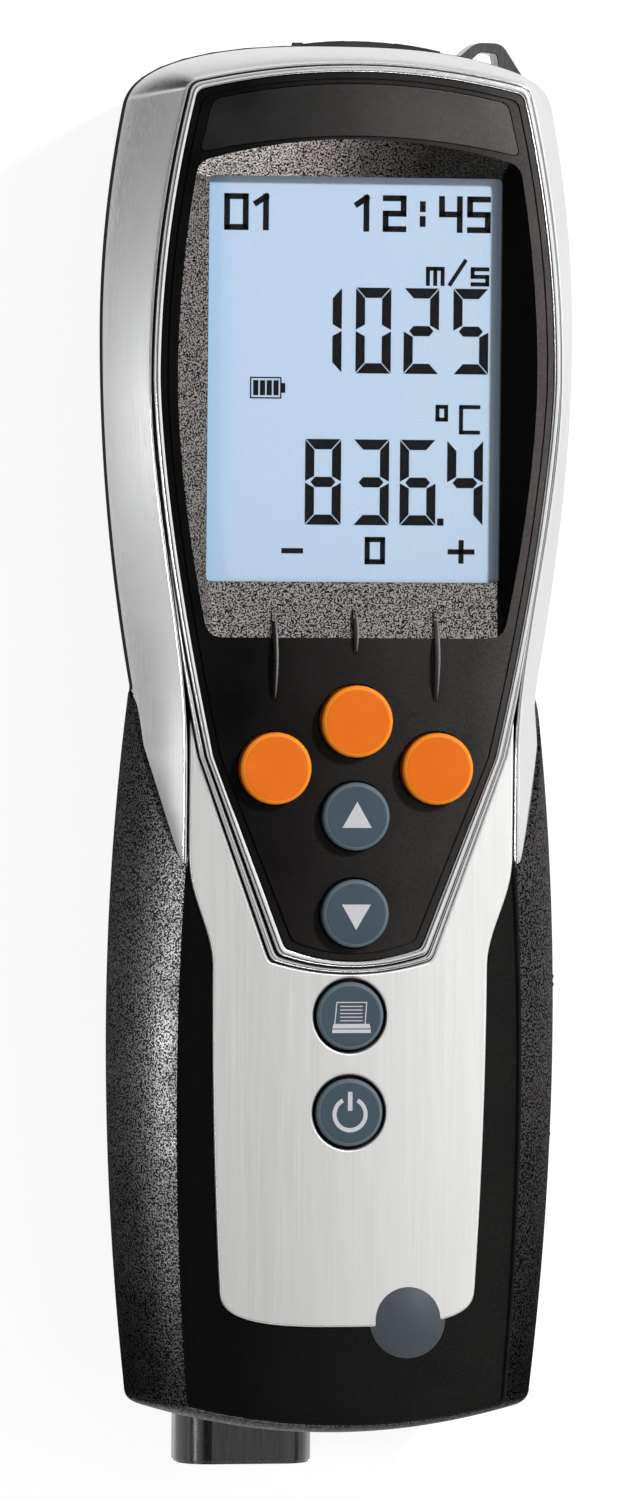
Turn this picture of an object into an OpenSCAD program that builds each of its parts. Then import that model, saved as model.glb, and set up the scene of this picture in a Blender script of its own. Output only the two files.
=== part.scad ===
// Handheld air meter: display head with a bright frame, soft grip, seven keys and two probe sockets.
// It lies on its back: +Z out of the display, +Y towards the head, origin under the middle.
// All sizes are in millimetres.

/* [Housing] */
// Widest point of the display head, at its rear edge
head_w = 73.6; // [71:0.2:77]
// Width of the head where its top corners start
crown_w = 67.2; // [64:0.2:69]
// Width of the waist between head and grip
waist_w = 63.4; // [62:0.2:66]
// Widest point of the soft grip
grip_w = 69.8; // [67:0.2:73]
// Width of the foot of the grip
foot_w = 63.2; // [62:0.2:66]
// From the display opening up to the top of the head
head_top = 20.5; // [19.5:0.25:21]
// From the middle down to the end of the grip
grip_end = 104.6; // [103:0.2:106]
// Height of the joint between rear shell and front
split_z = 25; // [24:0.25:26]
// Wall of the shells
wall = 2.2; // [1.8:0.1:2.6]
// Roundness of the back edge, sideways
back_round = 5; // [3:0.5:6]
// Draft of the back shell on each side
back_draft = 3.4; // [2.8:0.1:4]
// Slope of the back of the head, lengthways
head_slope = 20; // [14:1:24]

/* [Front levels] */
// Height of the deck that carries panel and plate
deck_z = 41; // [40.5:0.25:41.5]
// Thickness of that deck
deck_t = 1.6; // [1.2:0.1:2]
// Thickness of the black panel
panel_t = 2.5; // [2.2:0.1:2.8]
// Thickness of the brushed plate
plate_t = 0.8; // [0.6:0.1:1.2]
// Rise of the bright bead above the black panel
bead_rise = 0.2; // [0:0.05:0.5]
// Width of the bead
bead_w = 1.1; // [0.9:0.1:1.4]
// Width of the step outside the bead
lip_w = 0.8; // [0.5:0.1:1]
// Height of the steep band at the rear edge of the frame
band_h = 8; // [6:0.5:9]
// Drop of the frame shoulder below the panel face
shoulder_drop = 0.9; // [0.5:0.1:1.2]
// Rise of the grip margin above the deck
margin_rise = 0.3; // [0.1:0.1:0.5]

/* [Black panel] */
// Widest point of the panel
panel_w = 61.2; // [60:0.2:62]
// Width of the panel at the upper end of the V
keypad_w = 43.8; // [42.6:0.2:45]
// Width of the blunt foot of the V
vee_w = 21.2; // [19.6:0.2:22.6]
// From the middle down to the foot of the V
vee_end = 31.1; // [30.8:0.1:32.5]
// Width of the display opening
window_w = 45.7; // [44:0.1:46.5]
// Height of the display opening
window_h = 61.8; // [59:0.1:62.5]
// From the middle up to the centre of the display
window_y = 57.6; // [57:0.1:58.2]
// Depth of the display recess
recess_d = 2.6; // [2:0.1:3]
// Height of the blank name strip
strip_h = 7.9; // [6:0.1:8.4]
// Thickness of the name strip
strip_t = 0.6; // [0.4:0.1:1]
// Thickness of the three pointer ridges
ridge_t = 0.7; // [0.5:0.1:1]

/* [Keys] */
// Diameter of the three function keys
function_key_d = 11; // [10:0.1:11.4]
// Diameter of the four control keys
control_key_d = 10.4; // [9.6:0.1:10.8]
// Sideways distance of the outer function keys
function_key_x = 12.6; // [12.2:0.1:12.8]
// Height of the middle function key above the middle of the part
function_key_y = 5.5; // [5:0.1:6]
// Step down from the middle to the outer function keys
function_key_step = 7.2; // [6.6:0.1:7.6]
// Middle function key down to the up key
up_key_step = 14.5; // [14:0.1:15]
// Up key to down key
down_key_step = 14.8; // [14.2:0.1:15]
// Down key to print key
print_key_step = 15.8; // [15:0.1:17]
// Print key to power key
power_key_step = 14.8; // [13:0.1:16]
// Rise of the upper keys above the panel
key_rise = 2.5; // [2:0.1:3]
// Rise of the lower keys above the plate
plate_key_rise = 0.6; // [0.3:0.1:1]
// Travel of a key
key_travel = 1; // [0.6:0.1:1.2]
// Gap round a key
key_gap = 0.3; // [0.25:0.05:0.5]
// Rounding of the key edge
key_round = 0.8; // [0.4:0.1:1.1]

/* [Brushed plate and badge] */
// Width of the plate at the waist
plate_w = 50.4; // [49.6:0.2:50.8]
// Width of the plate below the V
plate_low_w = 42.8; // [41:0.2:44]
// From the middle down to the end of the plate
plate_end = 87.3; // [85:0.1:89]
// Diameter of the badge
badge_d = 11.8; // [10:0.1:12.4]
// Rise of the badge above the plate
badge_rise = 1.1; // [0.6:0.1:1.6]

/* [Sockets and head fittings] */
// Width of the socket block
block_w = 21.4; // [21:0.1:22.4]
// Height of the socket block
block_h = 12; // [11.4:0.1:13]
// How far the socket block stands out of the base
block_end = 5.4; // [3.4:0.1:7.4]
// Bore of a probe socket
socket_d = 9.5; // [9.2:0.05:9.6]
// Free depth of a probe socket
socket_depth = 7; // [5:0.1:7.5]
// Width of the flap over the data socket
flap_w = 22.2; // [20:0.1:23]
// Height of that flap
flap_h = 10.4; // [9:0.1:10.6]
// Thickness of that flap
flap_t = 1.6; // [1.2:0.1:1.8]
// Thickness of the strap eyelet
eyelet_t = 5; // [4:0.1:5.6]

/* [Inside and back] */
// Diameter of a battery cell
cell_d = 14.2; // [13.8:0.1:14.4]
// Length of a battery cell
cell_l = 50.2; // [49:0.1:50.6]
// Thickness of the battery cover
cover_t = 2.2; // [1.9:0.1:2.4]
// Thickness of the circuit board
board_t = 1.6; // [1.2:0.2:2]
// Diameter of a holding magnet
magnet_d = 12; // [9:0.5:13]
// Thickness of a holding magnet
magnet_t = 3; // [2:0.25:3.5]
// Diameter of the screw shanks
screw_d = 2.8; // [2.4:0.1:3]

/* [Hidden] */
$fn = 64;
fit = 0.12;
ledge = 1.2;
cap_power = 2.5;
cap_steps = 8;

// Where the widest and the narrow points of the outline sit along the part
window_lo = window_y - window_h / 2;
window_hi = window_y + window_h / 2;
head_end = window_hi + head_top;
head_y = 66;
crown_y = head_end - 10;
shoulder_y = 34;
waist_y = 10.5;
grip_y = -41;
foot_y = -97.4;
panel_y = window_y + 0.4;
panel_crown = head_end - 4.6;
keypad_y = 0;
vee_sag = 2;

// Levels
panel_z = deck_z + panel_t;
bead_z = panel_z + bead_rise;
shoulder_z = panel_z - shoulder_drop;
plate_z = deck_z + plate_t;
margin_z = deck_z + margin_rise;
crease_z = plate_z + 0.1;
window_z = panel_z - recess_d - 0.8;
window_t = 1.2;
lcd_t = 1.8;
lcd_z = window_z - window_t - 0.1;
holder_z = lcd_z - lcd_t - 4.8;
light_t = 3.4;
board_z = split_z - 4;
board_top = board_z + board_t;
mat_t = 1.2;
stem_end = board_top + 8.4;
post_end = stem_end - key_travel - 0.1;

// The slanting joint between the bright frame and the soft grip, seen from the side
crown_sag = 3.1;
foot_bow = 0.0051;
foot_edge = 2.2;
flank_arc = 72;
tip_y = waist_y - 1;
tail_y = -16.8;
seam = 0.15;

// Keys: [x, y, diameter, face height, underside of the piece above the flange]
up_key_y = function_key_y - up_key_step;
down_key_y = up_key_y - down_key_step;
print_key_y = down_key_y - print_key_step;
power_key_y = print_key_y - power_key_step;
side_key_y = function_key_y - function_key_step;
KEYS = [
    [-function_key_x, side_key_y, function_key_d, panel_z + key_rise, deck_z],
    [0, function_key_y, function_key_d, panel_z + key_rise, deck_z],
    [function_key_x, side_key_y, function_key_d, panel_z + key_rise, deck_z],
    [0, up_key_y, control_key_d, panel_z + key_rise - 0.3, deck_z],
    [0, down_key_y, control_key_d, panel_z + key_rise - 0.3, deck_z],
    [0, print_key_y, control_key_d, plate_z + plate_key_rise, deck_z - deck_t],
    [0, power_key_y, control_key_d, plate_z + plate_key_rise, deck_z - deck_t]
];
badge_x = 9.5;
badge_y = 1 - plate_end;

// Back, battery bay, screws, magnets
back_rise = 11;
end_draft = 1;
cell_z = cover_t + 0.3 + cell_d / 2;
cell_pitch = cell_d + 0.5;
bay_w = 3 * cell_pitch + 0.6;
contact_d = 1.6;
bay_l = cell_l + 2 * contact_d + 0.3;
bay_top_y = -26.8;
bay_mid_y = bay_top_y - bay_l / 2;
bay_roof = cell_z + cell_d / 2 + 0.3;
bay_wall = 1.5;
cover_w = bay_w + 1.2;
cover_top_y = -23.5;
rail = 1.2;
rail_z = 1.25;
slide_gap = 0.2;
magnet_x = 15;
magnet_y = 45;
screw_head_z = 7;
screw_head_d = 5.2;
screw_head_t = 2;
screw_end_z = 34;
HEAD_SCREW = [18, head_end - 11.5];
FOOT_SCREW = [15, -90];

// Sockets and head fittings
block_x = -11.7;
block_in = grip_end - 7.8;
block_tip = grip_end + block_end;
tongue = 5;
block_z = split_z - 1.4 - block_h / 2;
socket_pitch = socket_d + 0.7;
flap_x = -5.4;
flap_z = split_z - 2.5 - flap_h;
flap_top = head_end + 1;
flap_peak_x = 3.6;
flap_bow = 0.0083;
hinge_r = 0.8;
hinge_y = flap_top - 1;
hinge_z = flap_z - 0.7;
hinge_l = 10;
hinge_x = flap_x + 3;
pin_r = 0.45;
usb_x = 8;
infrared_w = 14.2;
eyelet_x = flap_x + flap_w + 1;
eyelet_w = 12.5;
eyelet_z = split_z - 1.2 - eyelet_t;

// Node to draw

// Curve from the widest point y0 with half width h0 to the point y1 with half width h1
function bow(y, y0, h0, y1, h1, power = 2) = h0 + (h1 - h0) * pow(abs((y - y0) / (y1 - y0)), power);

// Soft step from 0 to 1
function ease(s) = let(t = min(1, max(0, s))) t * t * (3 - 2 * t);

// Half width of the black panel at height y
function panel_half(y) =
    y > panel_y ? bow(y, panel_y, panel_w / 2, panel_crown - 3.6, panel_w / 2 - 5.2)
    : y > keypad_y ? bow(y, panel_y, panel_w / 2, keypad_y, keypad_w / 2, 1.5)
    : vee_w / 2 + (keypad_w - vee_w) / 2 * (y + vee_end - vee_sag) / (keypad_y + vee_end - vee_sag);

// Half width of an edge of the housing at height y
function half(edge, y) =
    edge == "head_rear" ? (y > head_y ? bow(y, head_y, head_w / 2, crown_y, crown_w / 2)
        : y > waist_y ? bow(y, head_y, head_w / 2, waist_y, waist_w / 2)
        : half("grip_rear", y) - min(0.5, (waist_y - y) / 6))
    : edge == "head_front" ? (y > panel_y ? panel_half(y) + bead_w + 0.1
        : panel_w / 2 + bead_w + 0.1 - (panel_w / 2 + bead_w - plate_w / 2 - 0.2)
            * ease((panel_y - y) / (panel_y + 2)))
    : edge == "grip_rear" ? (y > grip_y ? bow(y, grip_y, grip_w / 2, waist_y, waist_w / 2)
        : bow(y, grip_y, grip_w / 2, foot_y, foot_w / 2))
    : edge == "grip_front" ? (y > -50 ? bow(y, -50, plate_w / 2 + 1.7, tail_y, plate_w / 2 + 0.6)
        : bow(y, -50, plate_w / 2 + 1.7, foot_y, plate_w / 2 - 0.2))
    : 0.15 + (y > waist_y ? half("head_rear", y) : half("grip_rear", y));

// Lower end, height of the lower corners, upper end, height of the upper corners
function ends(edge) =
    edge == "head_rear" ? [-20, 3, head_end, head_end - crown_y]
    : edge == "head_front" ? [-20, 3, panel_crown + bead_w + 0.1, crown_sag + 1]
    : edge == "grip_rear" ? [-grip_end, 2, waist_y + 3, 2]
    : edge == "grip_front" ? [-grip_end + foot_edge, 1.2, waist_y + 3, 2]
    : [-grip_end - 0.1, 2, head_end + 0.15, head_end - crown_y];

// Number of steps below and above the waist
function steps(edge) =
    edge == "head_rear" || edge == "head_front" ? [4, 16]
    : edge == "grip_rear" || edge == "grip_front" ? [16, 1]
    : [15, 15];

// Right half of the arched top of the panel: a small corner at h, y, then a bow up to the middle
function crown_cap(h, y) = concat(
    curve([h + 0.2, y - 1], [h, y], [0.95 * h, y + crown_sag * (1 - 0.95 * 0.95)], 3),
    [for (i = [1 : cap_steps - 3]) let(t = 0.95 * (1 - i / (cap_steps - 3))) [t * h, y + crown_sag * (1 - t * t)]]);

// Right half of the bowed foot: from the middle out to a small corner at h, y
function foot_cap(h, y, r) = concat(
    [for (i = [0 : cap_steps - 3]) let(t = (1 - r / h) * i / (cap_steps - 3))
        [t * h, y - foot_bow * (1 - t * t) * h * h]],
    curve([h - r, y - foot_bow * (2 * h * r - r * r)], [h, y], [h, y + r], 3));

// Right half of an edge, from its lowest to its highest point
function right_side(edge, inset, base_in, crown_in) =
    let(e = ends(edge), s = steps(edge), front = edge == "head_front", head = front || edge == "head_rear",
        foot_h = half(edge, foot_y) - inset, foot_c = e[0] + base_in + foot_bow * foot_h * foot_h,
        y0 = head ? e[0] + e[1] : foot_c + e[1],
        y1 = e[2] - e[3] - (front ? crown_in : 0), mid = min(y1 - 0.5, max(y0 + 0.5, waist_y)))
    [
        if (!head) each foot_cap(foot_h, foot_c, e[1])
        else for (i = [0 : cap_steps]) let(a = 90 - 90 * i / cap_steps,
            y = y0 - (e[1] - base_in) * pow(sin(a), 2 / cap_power))
            [(half(edge, y) - inset) * pow(cos(a), 2 / cap_power), y],
        for (i = [1 : s[0]]) let(y = y0 + (mid - y0) * i / s[0]) [half(edge, y) - inset, y],
        for (i = [1 : s[1]]) let(y = mid + (y1 - mid) * i / s[1]) [half(edge, y) - inset, y],
        if (front) each crown_cap(half(edge, y1 + 1) - inset, y1 + 1)
        else for (i = [1 : cap_steps]) let(a = 90 * i / cap_steps,
            y = y1 + (e[3] - crown_in) * pow(sin(a), 2 / cap_power))
            [(half(edge, y) - inset) * pow(cos(a), 2 / cap_power), y]
    ];

// Closes a right half with its mirror image
function both(right) =
    concat(right, [for (i = [len(right) - 2 : -1 : 1]) [-right[i][0], right[i][1]]]);

function outline(edge, inset = 0, base_in = undef, crown_in = undef) =
    both(right_side(edge, inset, is_undef(base_in) ? inset : base_in, is_undef(crown_in) ? inset : crown_in));

// One ring of a skin, the share b of the way from edge p to edge q
function ring(p, q, b, z) = [for (i = [0 : len(p) - 1]) concat(p[i] + (q[i] - p[i]) * b, z)];

// Quadratic curve from p0 to p2, pulled towards p1, without its first point
function curve(p0, p1, p2, n) =
    [for (i = [1 : n]) let(t = i / n) p0 * pow(1 - t, 2) + p1 * 2 * t * (1 - t) + p2 * t * t];

// Rounds every corner of an outline by about r
function rounded(points, r, n = 4) =
    [for (i = [0 : len(points) - 1])
        let(k = len(points), b = points[i], a = points[(i + k - 1) % k] - b, c = points[(i + 1) % k] - b,
            p0 = b + a * r / norm(a), p2 = b + c * r / norm(c))
        each concat([p0], curve(p0, b, p2, n))];

// Outline of the black panel, grown by g
function panel_outline(g = 0) =
    let(y0 = -vee_end + vee_sag - g, h0 = vee_w / 2 + g, y1 = panel_crown - crown_sag + g,
        corner = [h0, y0], up = [panel_half(keypad_y) + g, keypad_y],
        on_vee = corner + (up - corner) * 0.035)
    both(concat(
        [for (i = [0 : 6]) let(t = 0.95 * i / 6) [h0 * t, y0 - vee_sag * (1 - t * t)]],
        curve([h0 * 0.95, y0 - vee_sag * (1 - 0.95 * 0.95)], corner, on_vee, 3),
        [for (i = [0 : 16]) let(y = keypad_y + (y1 - 1 - keypad_y) * i / 16) [panel_half(y) + g, y]],
        crown_cap(panel_half(y1) + g, y1)));

// Outline of the step outside the bead, which runs out beside the display
function lip_outline() = [for (p = panel_outline(bead_w + lip_w))
    [p[0] - sign(p[0]) * lip_w * ease(p[1] / shoulder_y), p[1]]];

// Half width of the brushed plate at height y
function plate_half(y) =
    plate_low_w / 2 - 1.5 * pow(max(0, -32 - y) / 50, 2)
    + (plate_w - plate_low_w) / 2 * ease((y + 32) / 16);

// Outline of the brushed plate, without the V, grown by g
function plate_outline(g = 0, top = 0) =
    let(y0 = -plate_end + 6)
    both(concat(
        [for (i = [0 : cap_steps]) let(a = 90 - 90 * i / cap_steps, y = y0 - (6 + g) * pow(sin(a), 0.66))
            [(plate_half(y) + g) * pow(cos(a), 0.66), y]],
        [for (i = [1 : 18]) let(y = y0 + (-14 - y0) * i / 18) [plate_half(y) + g, y]],
        [[plate_half(0) + g, top], [0, top]]));

// Edge of the display recess at the panel face, and the display opening, with matching points
recess_lo = window_lo - 8.5;
recess_hi = window_hi + 2;
recess_sag = 3.7;
recess_half_peak = window_w / 2 + 5.15;
function recess_half(y) =
    y > window_y ? bow(y, window_y, recess_half_peak, recess_hi, window_w / 2 + 2.2)
    : bow(y, window_y, recess_half_peak, recess_lo, window_w / 2 + 0.2, 1.7);
function recess_edge() = both(concat(
    [for (i = [0 : 4]) [0.9 * recess_half(recess_lo) * i / 4, recess_lo]],
    curve([0.9 * recess_half(recess_lo), recess_lo], [recess_half(recess_lo), recess_lo],
        [recess_half(recess_lo + 2.2), recess_lo + 2.2], 3),
    [for (i = [1 : 12]) let(y = recess_lo + 2.2 + (recess_hi - recess_lo - 4) * i / 12) [recess_half(y), y]],
    curve([recess_half(recess_hi - 1.8), recess_hi - 1.8], [recess_half(recess_hi), recess_hi],
        [0.93 * recess_half(recess_hi), recess_hi + recess_sag * (1 - 0.93 * 0.93)], 3),
    [for (i = [1 : 6]) let(t = 0.93 * (1 - i / 6))
        [t * recess_half(recess_hi), recess_hi + recess_sag * (1 - t * t)]]));
function window_edge() = let(w = window_w / 2) both(concat(
    [for (i = [0 : 4]) [0.97 * w * i / 4, window_lo]],
    curve([0.97 * w, window_lo], [w, window_lo], [w, window_lo + 0.7], 3),
    [for (i = [1 : 12]) [w, window_lo + 0.7 + (window_h - 1.4) * i / 12]],
    curve([w, window_hi - 0.7], [w, window_hi], [0.97 * w, window_hi], 3),
    [for (i = [1 : 6]) [0.97 * w * (1 - i / 6), window_hi]]));

// Arched name strip, grown by g
strip_lo = recess_hi + 1.4;
strip_half = window_w / 2 + 2;
function strip_under(x, g) = strip_lo + 2.8 * (1 - pow(x / strip_half, 2)) - g;
function strip_over(x, g) = strip_lo + 2.8 + strip_h - 2.7 * pow(x / (strip_half - 1.9), 2) + g;
function strip_outline(g = 0) =
    let(x0 = strip_half, x1 = strip_half - 1.9,
        low = [x0 + g, strip_under(x0, g)], high = [x1 + g, strip_over(x1, g)],
        a0 = [x0 - 1.2, strip_under(x0 - 1.2, g)], a1 = low + (high - low) * 0.15,
        b0 = low + (high - low) * 0.85, b1 = [x1 - 1.2, strip_over(x1 - 1.2, g)])
    both(concat(
        [for (i = [0 : 7]) let(x = a0[0] * i / 7) [x, strip_under(x, g)]],
        curve(a0, low, a1, 4),
        [b0],
        curve(b0, high, b1, 4),
        [for (i = [6 : -1 : 0]) let(x = b1[0] * i / 7) [x, strip_over(x, g)]]));

// Closed skin over a stack of rings, lowest ring first, each end closed by a fan about its middle
module skin(rings) {
    n = len(rings[0]);
    m = len(rings);
    low = rings[0];
    high = rings[m - 1];
    ones = [for (i = [0 : n - 1]) 1];
    polyhedron(
        points = concat([for (r = rings) each r], [ones * low / n, ones * high / n]),
        faces = concat(
            [for (i = [0 : n - 1]) [m * n, i, (i + 1) % n]],
            [for (j = [0 : m - 2], i = [0 : n - 1]) let(k = (i + 1) % n)
                each [[j * n + i, (j + 1) * n + i, (j + 1) * n + k],
                    [j * n + i, (j + 1) * n + k, j * n + k]]],
            [for (i = [0 : n - 1]) [m * n + 1, (m - 1) * n + (i + 1) % n, (m - 1) * n + i]]),
        convexity = 6);
}

// A profile drawn in Y and Z, drawn out along X
module along_x(width) {
    rotate([90, 0, 90]) linear_extrude(width, center = true) children();
}

// An outline drawn out from height z0 to z1
module layer(points, z0, z1) {
    translate([0, 0, z0]) linear_extrude(z1 - z0) polygon(points);
}

module round_box(w, d, r) {
    for (s = [-1, 1]) {
        translate([s * (w / 2 - r), 0]) square([2 * r, d - 2 * r], center = true);
    }
    square([w - 2 * r, d], center = true);
    for (s = [-1, 1], t = [-1, 1]) {
        translate([s * (w / 2 - r), t * (d / 2 - r)]) circle(r);
    }
}

// Place along the object at which the curved joint between frame and grip passes height z
function joint_y(z) = tip_y + (tail_y - tip_y) * pow(max(0, z - split_z) / (crease_z - split_z), 1.6);

// The joint from below the split to above the panel, moved by shift
function joint_line(shift) = concat(
    [[tip_y + shift, split_z - 1]],
    [for (i = [0 : 8]) let(z = split_z + (crease_z - split_z) * i / 8) [joint_y(z) + shift, z]],
    [[joint_y(panel_z + 3) + shift, panel_z + 3]]);

module frame_zone() {
    far = head_end + 10;
    along_x(120) polygon(concat(joint_line(0), [[far, panel_z + 3], [far, split_z - 1]]));
}

module grip_zone() {
    far = -grip_end - 10;
    along_x(120) polygon(concat(joint_line(-seam), [[far, panel_z + 3], [far, split_z - 1]]));
}

// Steep band, crease, flared band, then a rounded shoulder: [share of the way inwards, height]
function frame_levels() =
    let(p0 = [0.55, shoulder_z - 4.4], p2 = [1, shoulder_z])
    concat([[0, split_z], [0.09, split_z + band_h / 2], [0.2, split_z + band_h], p0],
        curve(p0, [0.86, shoulder_z - 0.1], p2, 6));

module frame_body() {
    rear = outline("head_rear");
    front = outline("head_front");
    rear_in = outline("head_rear", wall);
    front_in = outline("head_front", wall);
    under = deck_z - deck_t;
    difference() {
        skin([for (l = frame_levels()) ring(rear, front, l[0], l[1])]);
        skin([ring(rear_in, front_in, 0, split_z - 1), ring(rear_in, front_in, 0.05, split_z + 3),
            ring(rear_in, front_in, 0.72, under)]);
        layer(plate_outline(fit, fit), deck_z, panel_z + 3);
        // The shoulder runs down to the level of the plate
        along_x(120) polygon([
            [shoulder_y, shoulder_z + 0.01],
            [2, plate_z],
            [-40, plate_z],
            [-40, shoulder_z + 3],
            [shoulder_y, shoulder_z + 3]
        ]);
    }
}

module front_frame() {
    color("silver") difference() {
        union() {
            intersection() {
                frame_body();
                frame_zone();
            }
            // Tongue under the plate that carries the foot of the V
            intersection() {
                layer(plate_outline(-1.2, -8), deck_z - deck_t, deck_z);
                translate([-40, -vee_end - tongue, 0]) cube([80, 40, 60]);
            }
            layer(panel_outline(bead_w), deck_z - deck_t, bead_z);
            intersection() {
                layer(lip_outline(), deck_z - deck_t, shoulder_z);
                translate([-40, -vee_end - 10, 0]) cube([80, vee_end + 10 + shoulder_y, 60]);
            }
        }
        layer(panel_outline(fit / 2), deck_z, bead_z + 1);
        layer(panel_outline(-ledge), deck_z - deck_t - 1, deck_z + 1);
        translate([KEYS[5][0], KEYS[5][1], deck_z - deck_t - 1])
            cylinder(d = KEYS[5][2] + 2 * key_gap, h = deck_t + 2);
    }
}

// Blade of a pointer ridge: a disc through the three points (y, z) of its crest
module ridge(x, a, b, c) {
    d = 2 * (a[0] * (b[1] - c[1]) + b[0] * (c[1] - a[1]) + c[0] * (a[1] - b[1]));
    qa = a * a;
    qb = b * b;
    qc = c * c;
    y = (qa * (b[1] - c[1]) + qb * (c[1] - a[1]) + qc * (a[1] - b[1])) / d;
    z = (qa * (c[0] - b[0]) + qb * (a[0] - c[0]) + qc * (b[0] - a[0])) / d;
    intersection() {
        translate([x, y, z]) rotate([0, 90, 0]) cylinder(r = norm(a - [y, z]), h = ridge_t, center = true);
        translate([x, (a[0] + c[0]) / 2, panel_z - 0.4])
            cube([2, c[0] - a[0] - 0.02, 5], center = true);
    }
}

module display_panel() {
    tub_w = window_w + 3.8;
    slope = recess_d / (window_lo - recess_lo);
    crest_y = recess_lo + 5;
    crest_z = panel_z - slope * 5;
    color("dimgray") {
        difference() {
            union() {
                layer(panel_outline(-fit / 2), deck_z, panel_z);
                translate([-tub_w / 2, window_lo - 3.5, lcd_z + 0.1])
                    cube([tub_w, window_h + 6.5, deck_z - lcd_z]);
                for (s = [-1, 1]) {
                    translate([s * HEAD_SCREW[0], HEAD_SCREW[1], board_top])
                        cylinder(d = 6, h = deck_z - board_top + 0.5);
                }
            }
            skin([ring(window_edge(), recess_edge(), 0, panel_z - recess_d),
                ring(window_edge(), recess_edge(), 1.04, panel_z + 0.04 * recess_d)]);
            layer(window_edge(), window_z - 1, panel_z - recess_d + 0.5);
            translate([-window_w / 2 - 1.3, window_lo - 1.3, 0])
                cube([window_w + 2.6, window_h + 2.6, window_z]);
            layer(strip_outline(fit), panel_z - strip_t, panel_z + 1);
            // Fine groove along the edge
            difference() {
                layer(panel_outline(-0.9), panel_z - 0.3, panel_z + 1);
                layer(panel_outline(-1.15), panel_z - 1, panel_z + 2);
            }
            for (k = [0 : 4]) {
                translate([KEYS[k][0], KEYS[k][1], deck_z - 1])
                    cylinder(d = KEYS[k][2] + 2 * key_gap, h = panel_t + 2);
            }
            for (s = [-1, 1]) {
                translate([s * HEAD_SCREW[0], HEAD_SCREW[1], board_top - 1])
                    cylinder(d = screw_d + 0.1, h = screw_end_z - board_top + 2);
            }
        }
        for (s = [-1, 1]) {
            ridge(s * function_key_x, [recess_lo - 10, panel_z - 0.1], [recess_lo, panel_z + 0.7],
                [crest_y, crest_z - 0.1]);
        }
        ridge(0, [recess_lo - 2.8, panel_z - 0.1], [recess_lo, panel_z + 0.6], [crest_y, crest_z - 0.1]);
    }
}

module name_strip() {
    color("black") layer(strip_outline(0), panel_z - strip_t, panel_z);
}

module display_window() {
    color("lightblue", 0.4) translate([-window_w / 2 - 1.2, window_lo - 1.2, window_z - window_t])
        cube([window_w + 2.4, window_h + 2.4, window_t]);
}

module lcd_glass() {
    color("lightsteelblue") translate([-window_w / 2 - 1.2, window_lo - 1.2, lcd_z - lcd_t])
        cube([window_w + 2.4, window_h + 2.4, lcd_t]);
}

module lcd_holder() {
    w = window_w + 6.4;
    h = window_h + 6.4;
    color("white") difference() {
        union() {
            translate([-w / 2, window_y - h / 2, holder_z]) cube([w, h, lcd_z - holder_z]);
            for (s = [-1, 1], t = [-1, 1]) {
                translate([s * (w / 2 - 3), window_y + t * (h / 2 - 3), board_top])
                    cylinder(d = 4.4, h = holder_z - board_top + 0.2);
            }
        }
        translate([-window_w / 2 - 1.3, window_lo - 1.3, holder_z + 1.3])
            cube([window_w + 2.6, window_h + 2.6, 20]);
        translate([-window_w / 2 + 5, window_lo + 5, holder_z - 1])
            cube([window_w - 10, window_h - 10, 5]);
    }
}

module backlight() {
    color("ivory") translate([-window_w / 2 - 1.2, window_lo - 1.2, holder_z + 1.3])
        cube([window_w + 2.4, window_h + 2.4, light_t]);
}

module keypad_plate() {
    color("gainsboro") difference() {
        layer(plate_outline(), deck_z, plate_z);
        layer(panel_outline(bead_w + lip_w + fit), deck_z - 1, plate_z + 1);
        for (k = [5, 6]) {
            translate([KEYS[k][0], KEYS[k][1], deck_z - 1])
                cylinder(d = KEYS[k][2] + 2 * key_gap + 0.5, h = plate_t + 2);
        }
        translate([badge_x, badge_y, deck_z - 1]) cylinder(d = badge_d + 0.4, h = plate_t + 2);
    }
}

// Bulging flank that ends in a crease at the front: [share of the way inwards, height]
function grip_levels(top, n) =
    let(last = asin(sin(flank_arc) * (top - split_z) / (crease_z - split_z)))
    [for (i = [0 : n]) let(a = last * i / n)
        [(1 - cos(a)) / (1 - cos(flank_arc)), split_z + (crease_z - split_z) * sin(a) / sin(flank_arc)]];

module grip_sleeve() {
    rear = outline("grip_rear");
    front = outline("grip_front");
    rear_in = outline("grip_rear", wall);
    front_in = outline("grip_front", wall);
    under = deck_z - deck_t;
    color("darkslategray") difference() {
        union() {
            difference() {
                intersection() {
                    skin([for (l = grip_levels(crease_z, 7)) ring(rear, front, l[0], l[1])]);
                    grip_zone();
                }
                skin(concat([ring(rear_in, front_in, 0, split_z - 1)],
                    [for (l = grip_levels(under, 3)) ring(rear_in, front_in, l[0], l[1])]));
            }
            for (s = [-1, 1]) {
                translate([s * FOOT_SCREW[0], FOOT_SCREW[1], split_z])
                    cylinder(d = 6.4, h = under - split_z + 0.5);
            }
            // Small nubs on the right flank
            for (y = [-34.4, -35.6, -58.8]) {
                translate([half("grip_rear", y) - 0.1, y, split_z + 1.6]) sphere(r = 0.55, $fn = 24);
            }
        }
        // Smooth front margin, then the pocket of the brushed plate
        layer(outline("grip_front", 0.35), margin_z, margin_z + 5);
        layer(plate_outline(fit), deck_z, deck_z + 5);
        intersection() {
            layer(plate_outline(-1.2 + fit, 20), under - 1, deck_z + 1);
            translate([-40, -vee_end - tongue - fit, 0]) cube([80, 60, 60]);
        }
        for (k = [5, 6]) {
            translate([KEYS[k][0], KEYS[k][1], under - 1])
                cylinder(d = KEYS[k][2] + 2 * key_gap, h = deck_t + 3);
        }
        translate([badge_x, badge_y, deck_z - 0.6]) cylinder(d = badge_d + 0.2, h = 3);
        for (s = [-1, 1]) {
            translate([s * FOOT_SCREW[0], FOOT_SCREW[1], split_z - 1])
                cylinder(d = screw_d + 0.1, h = screw_end_z - split_z + 2);
        }
    }
}

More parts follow.
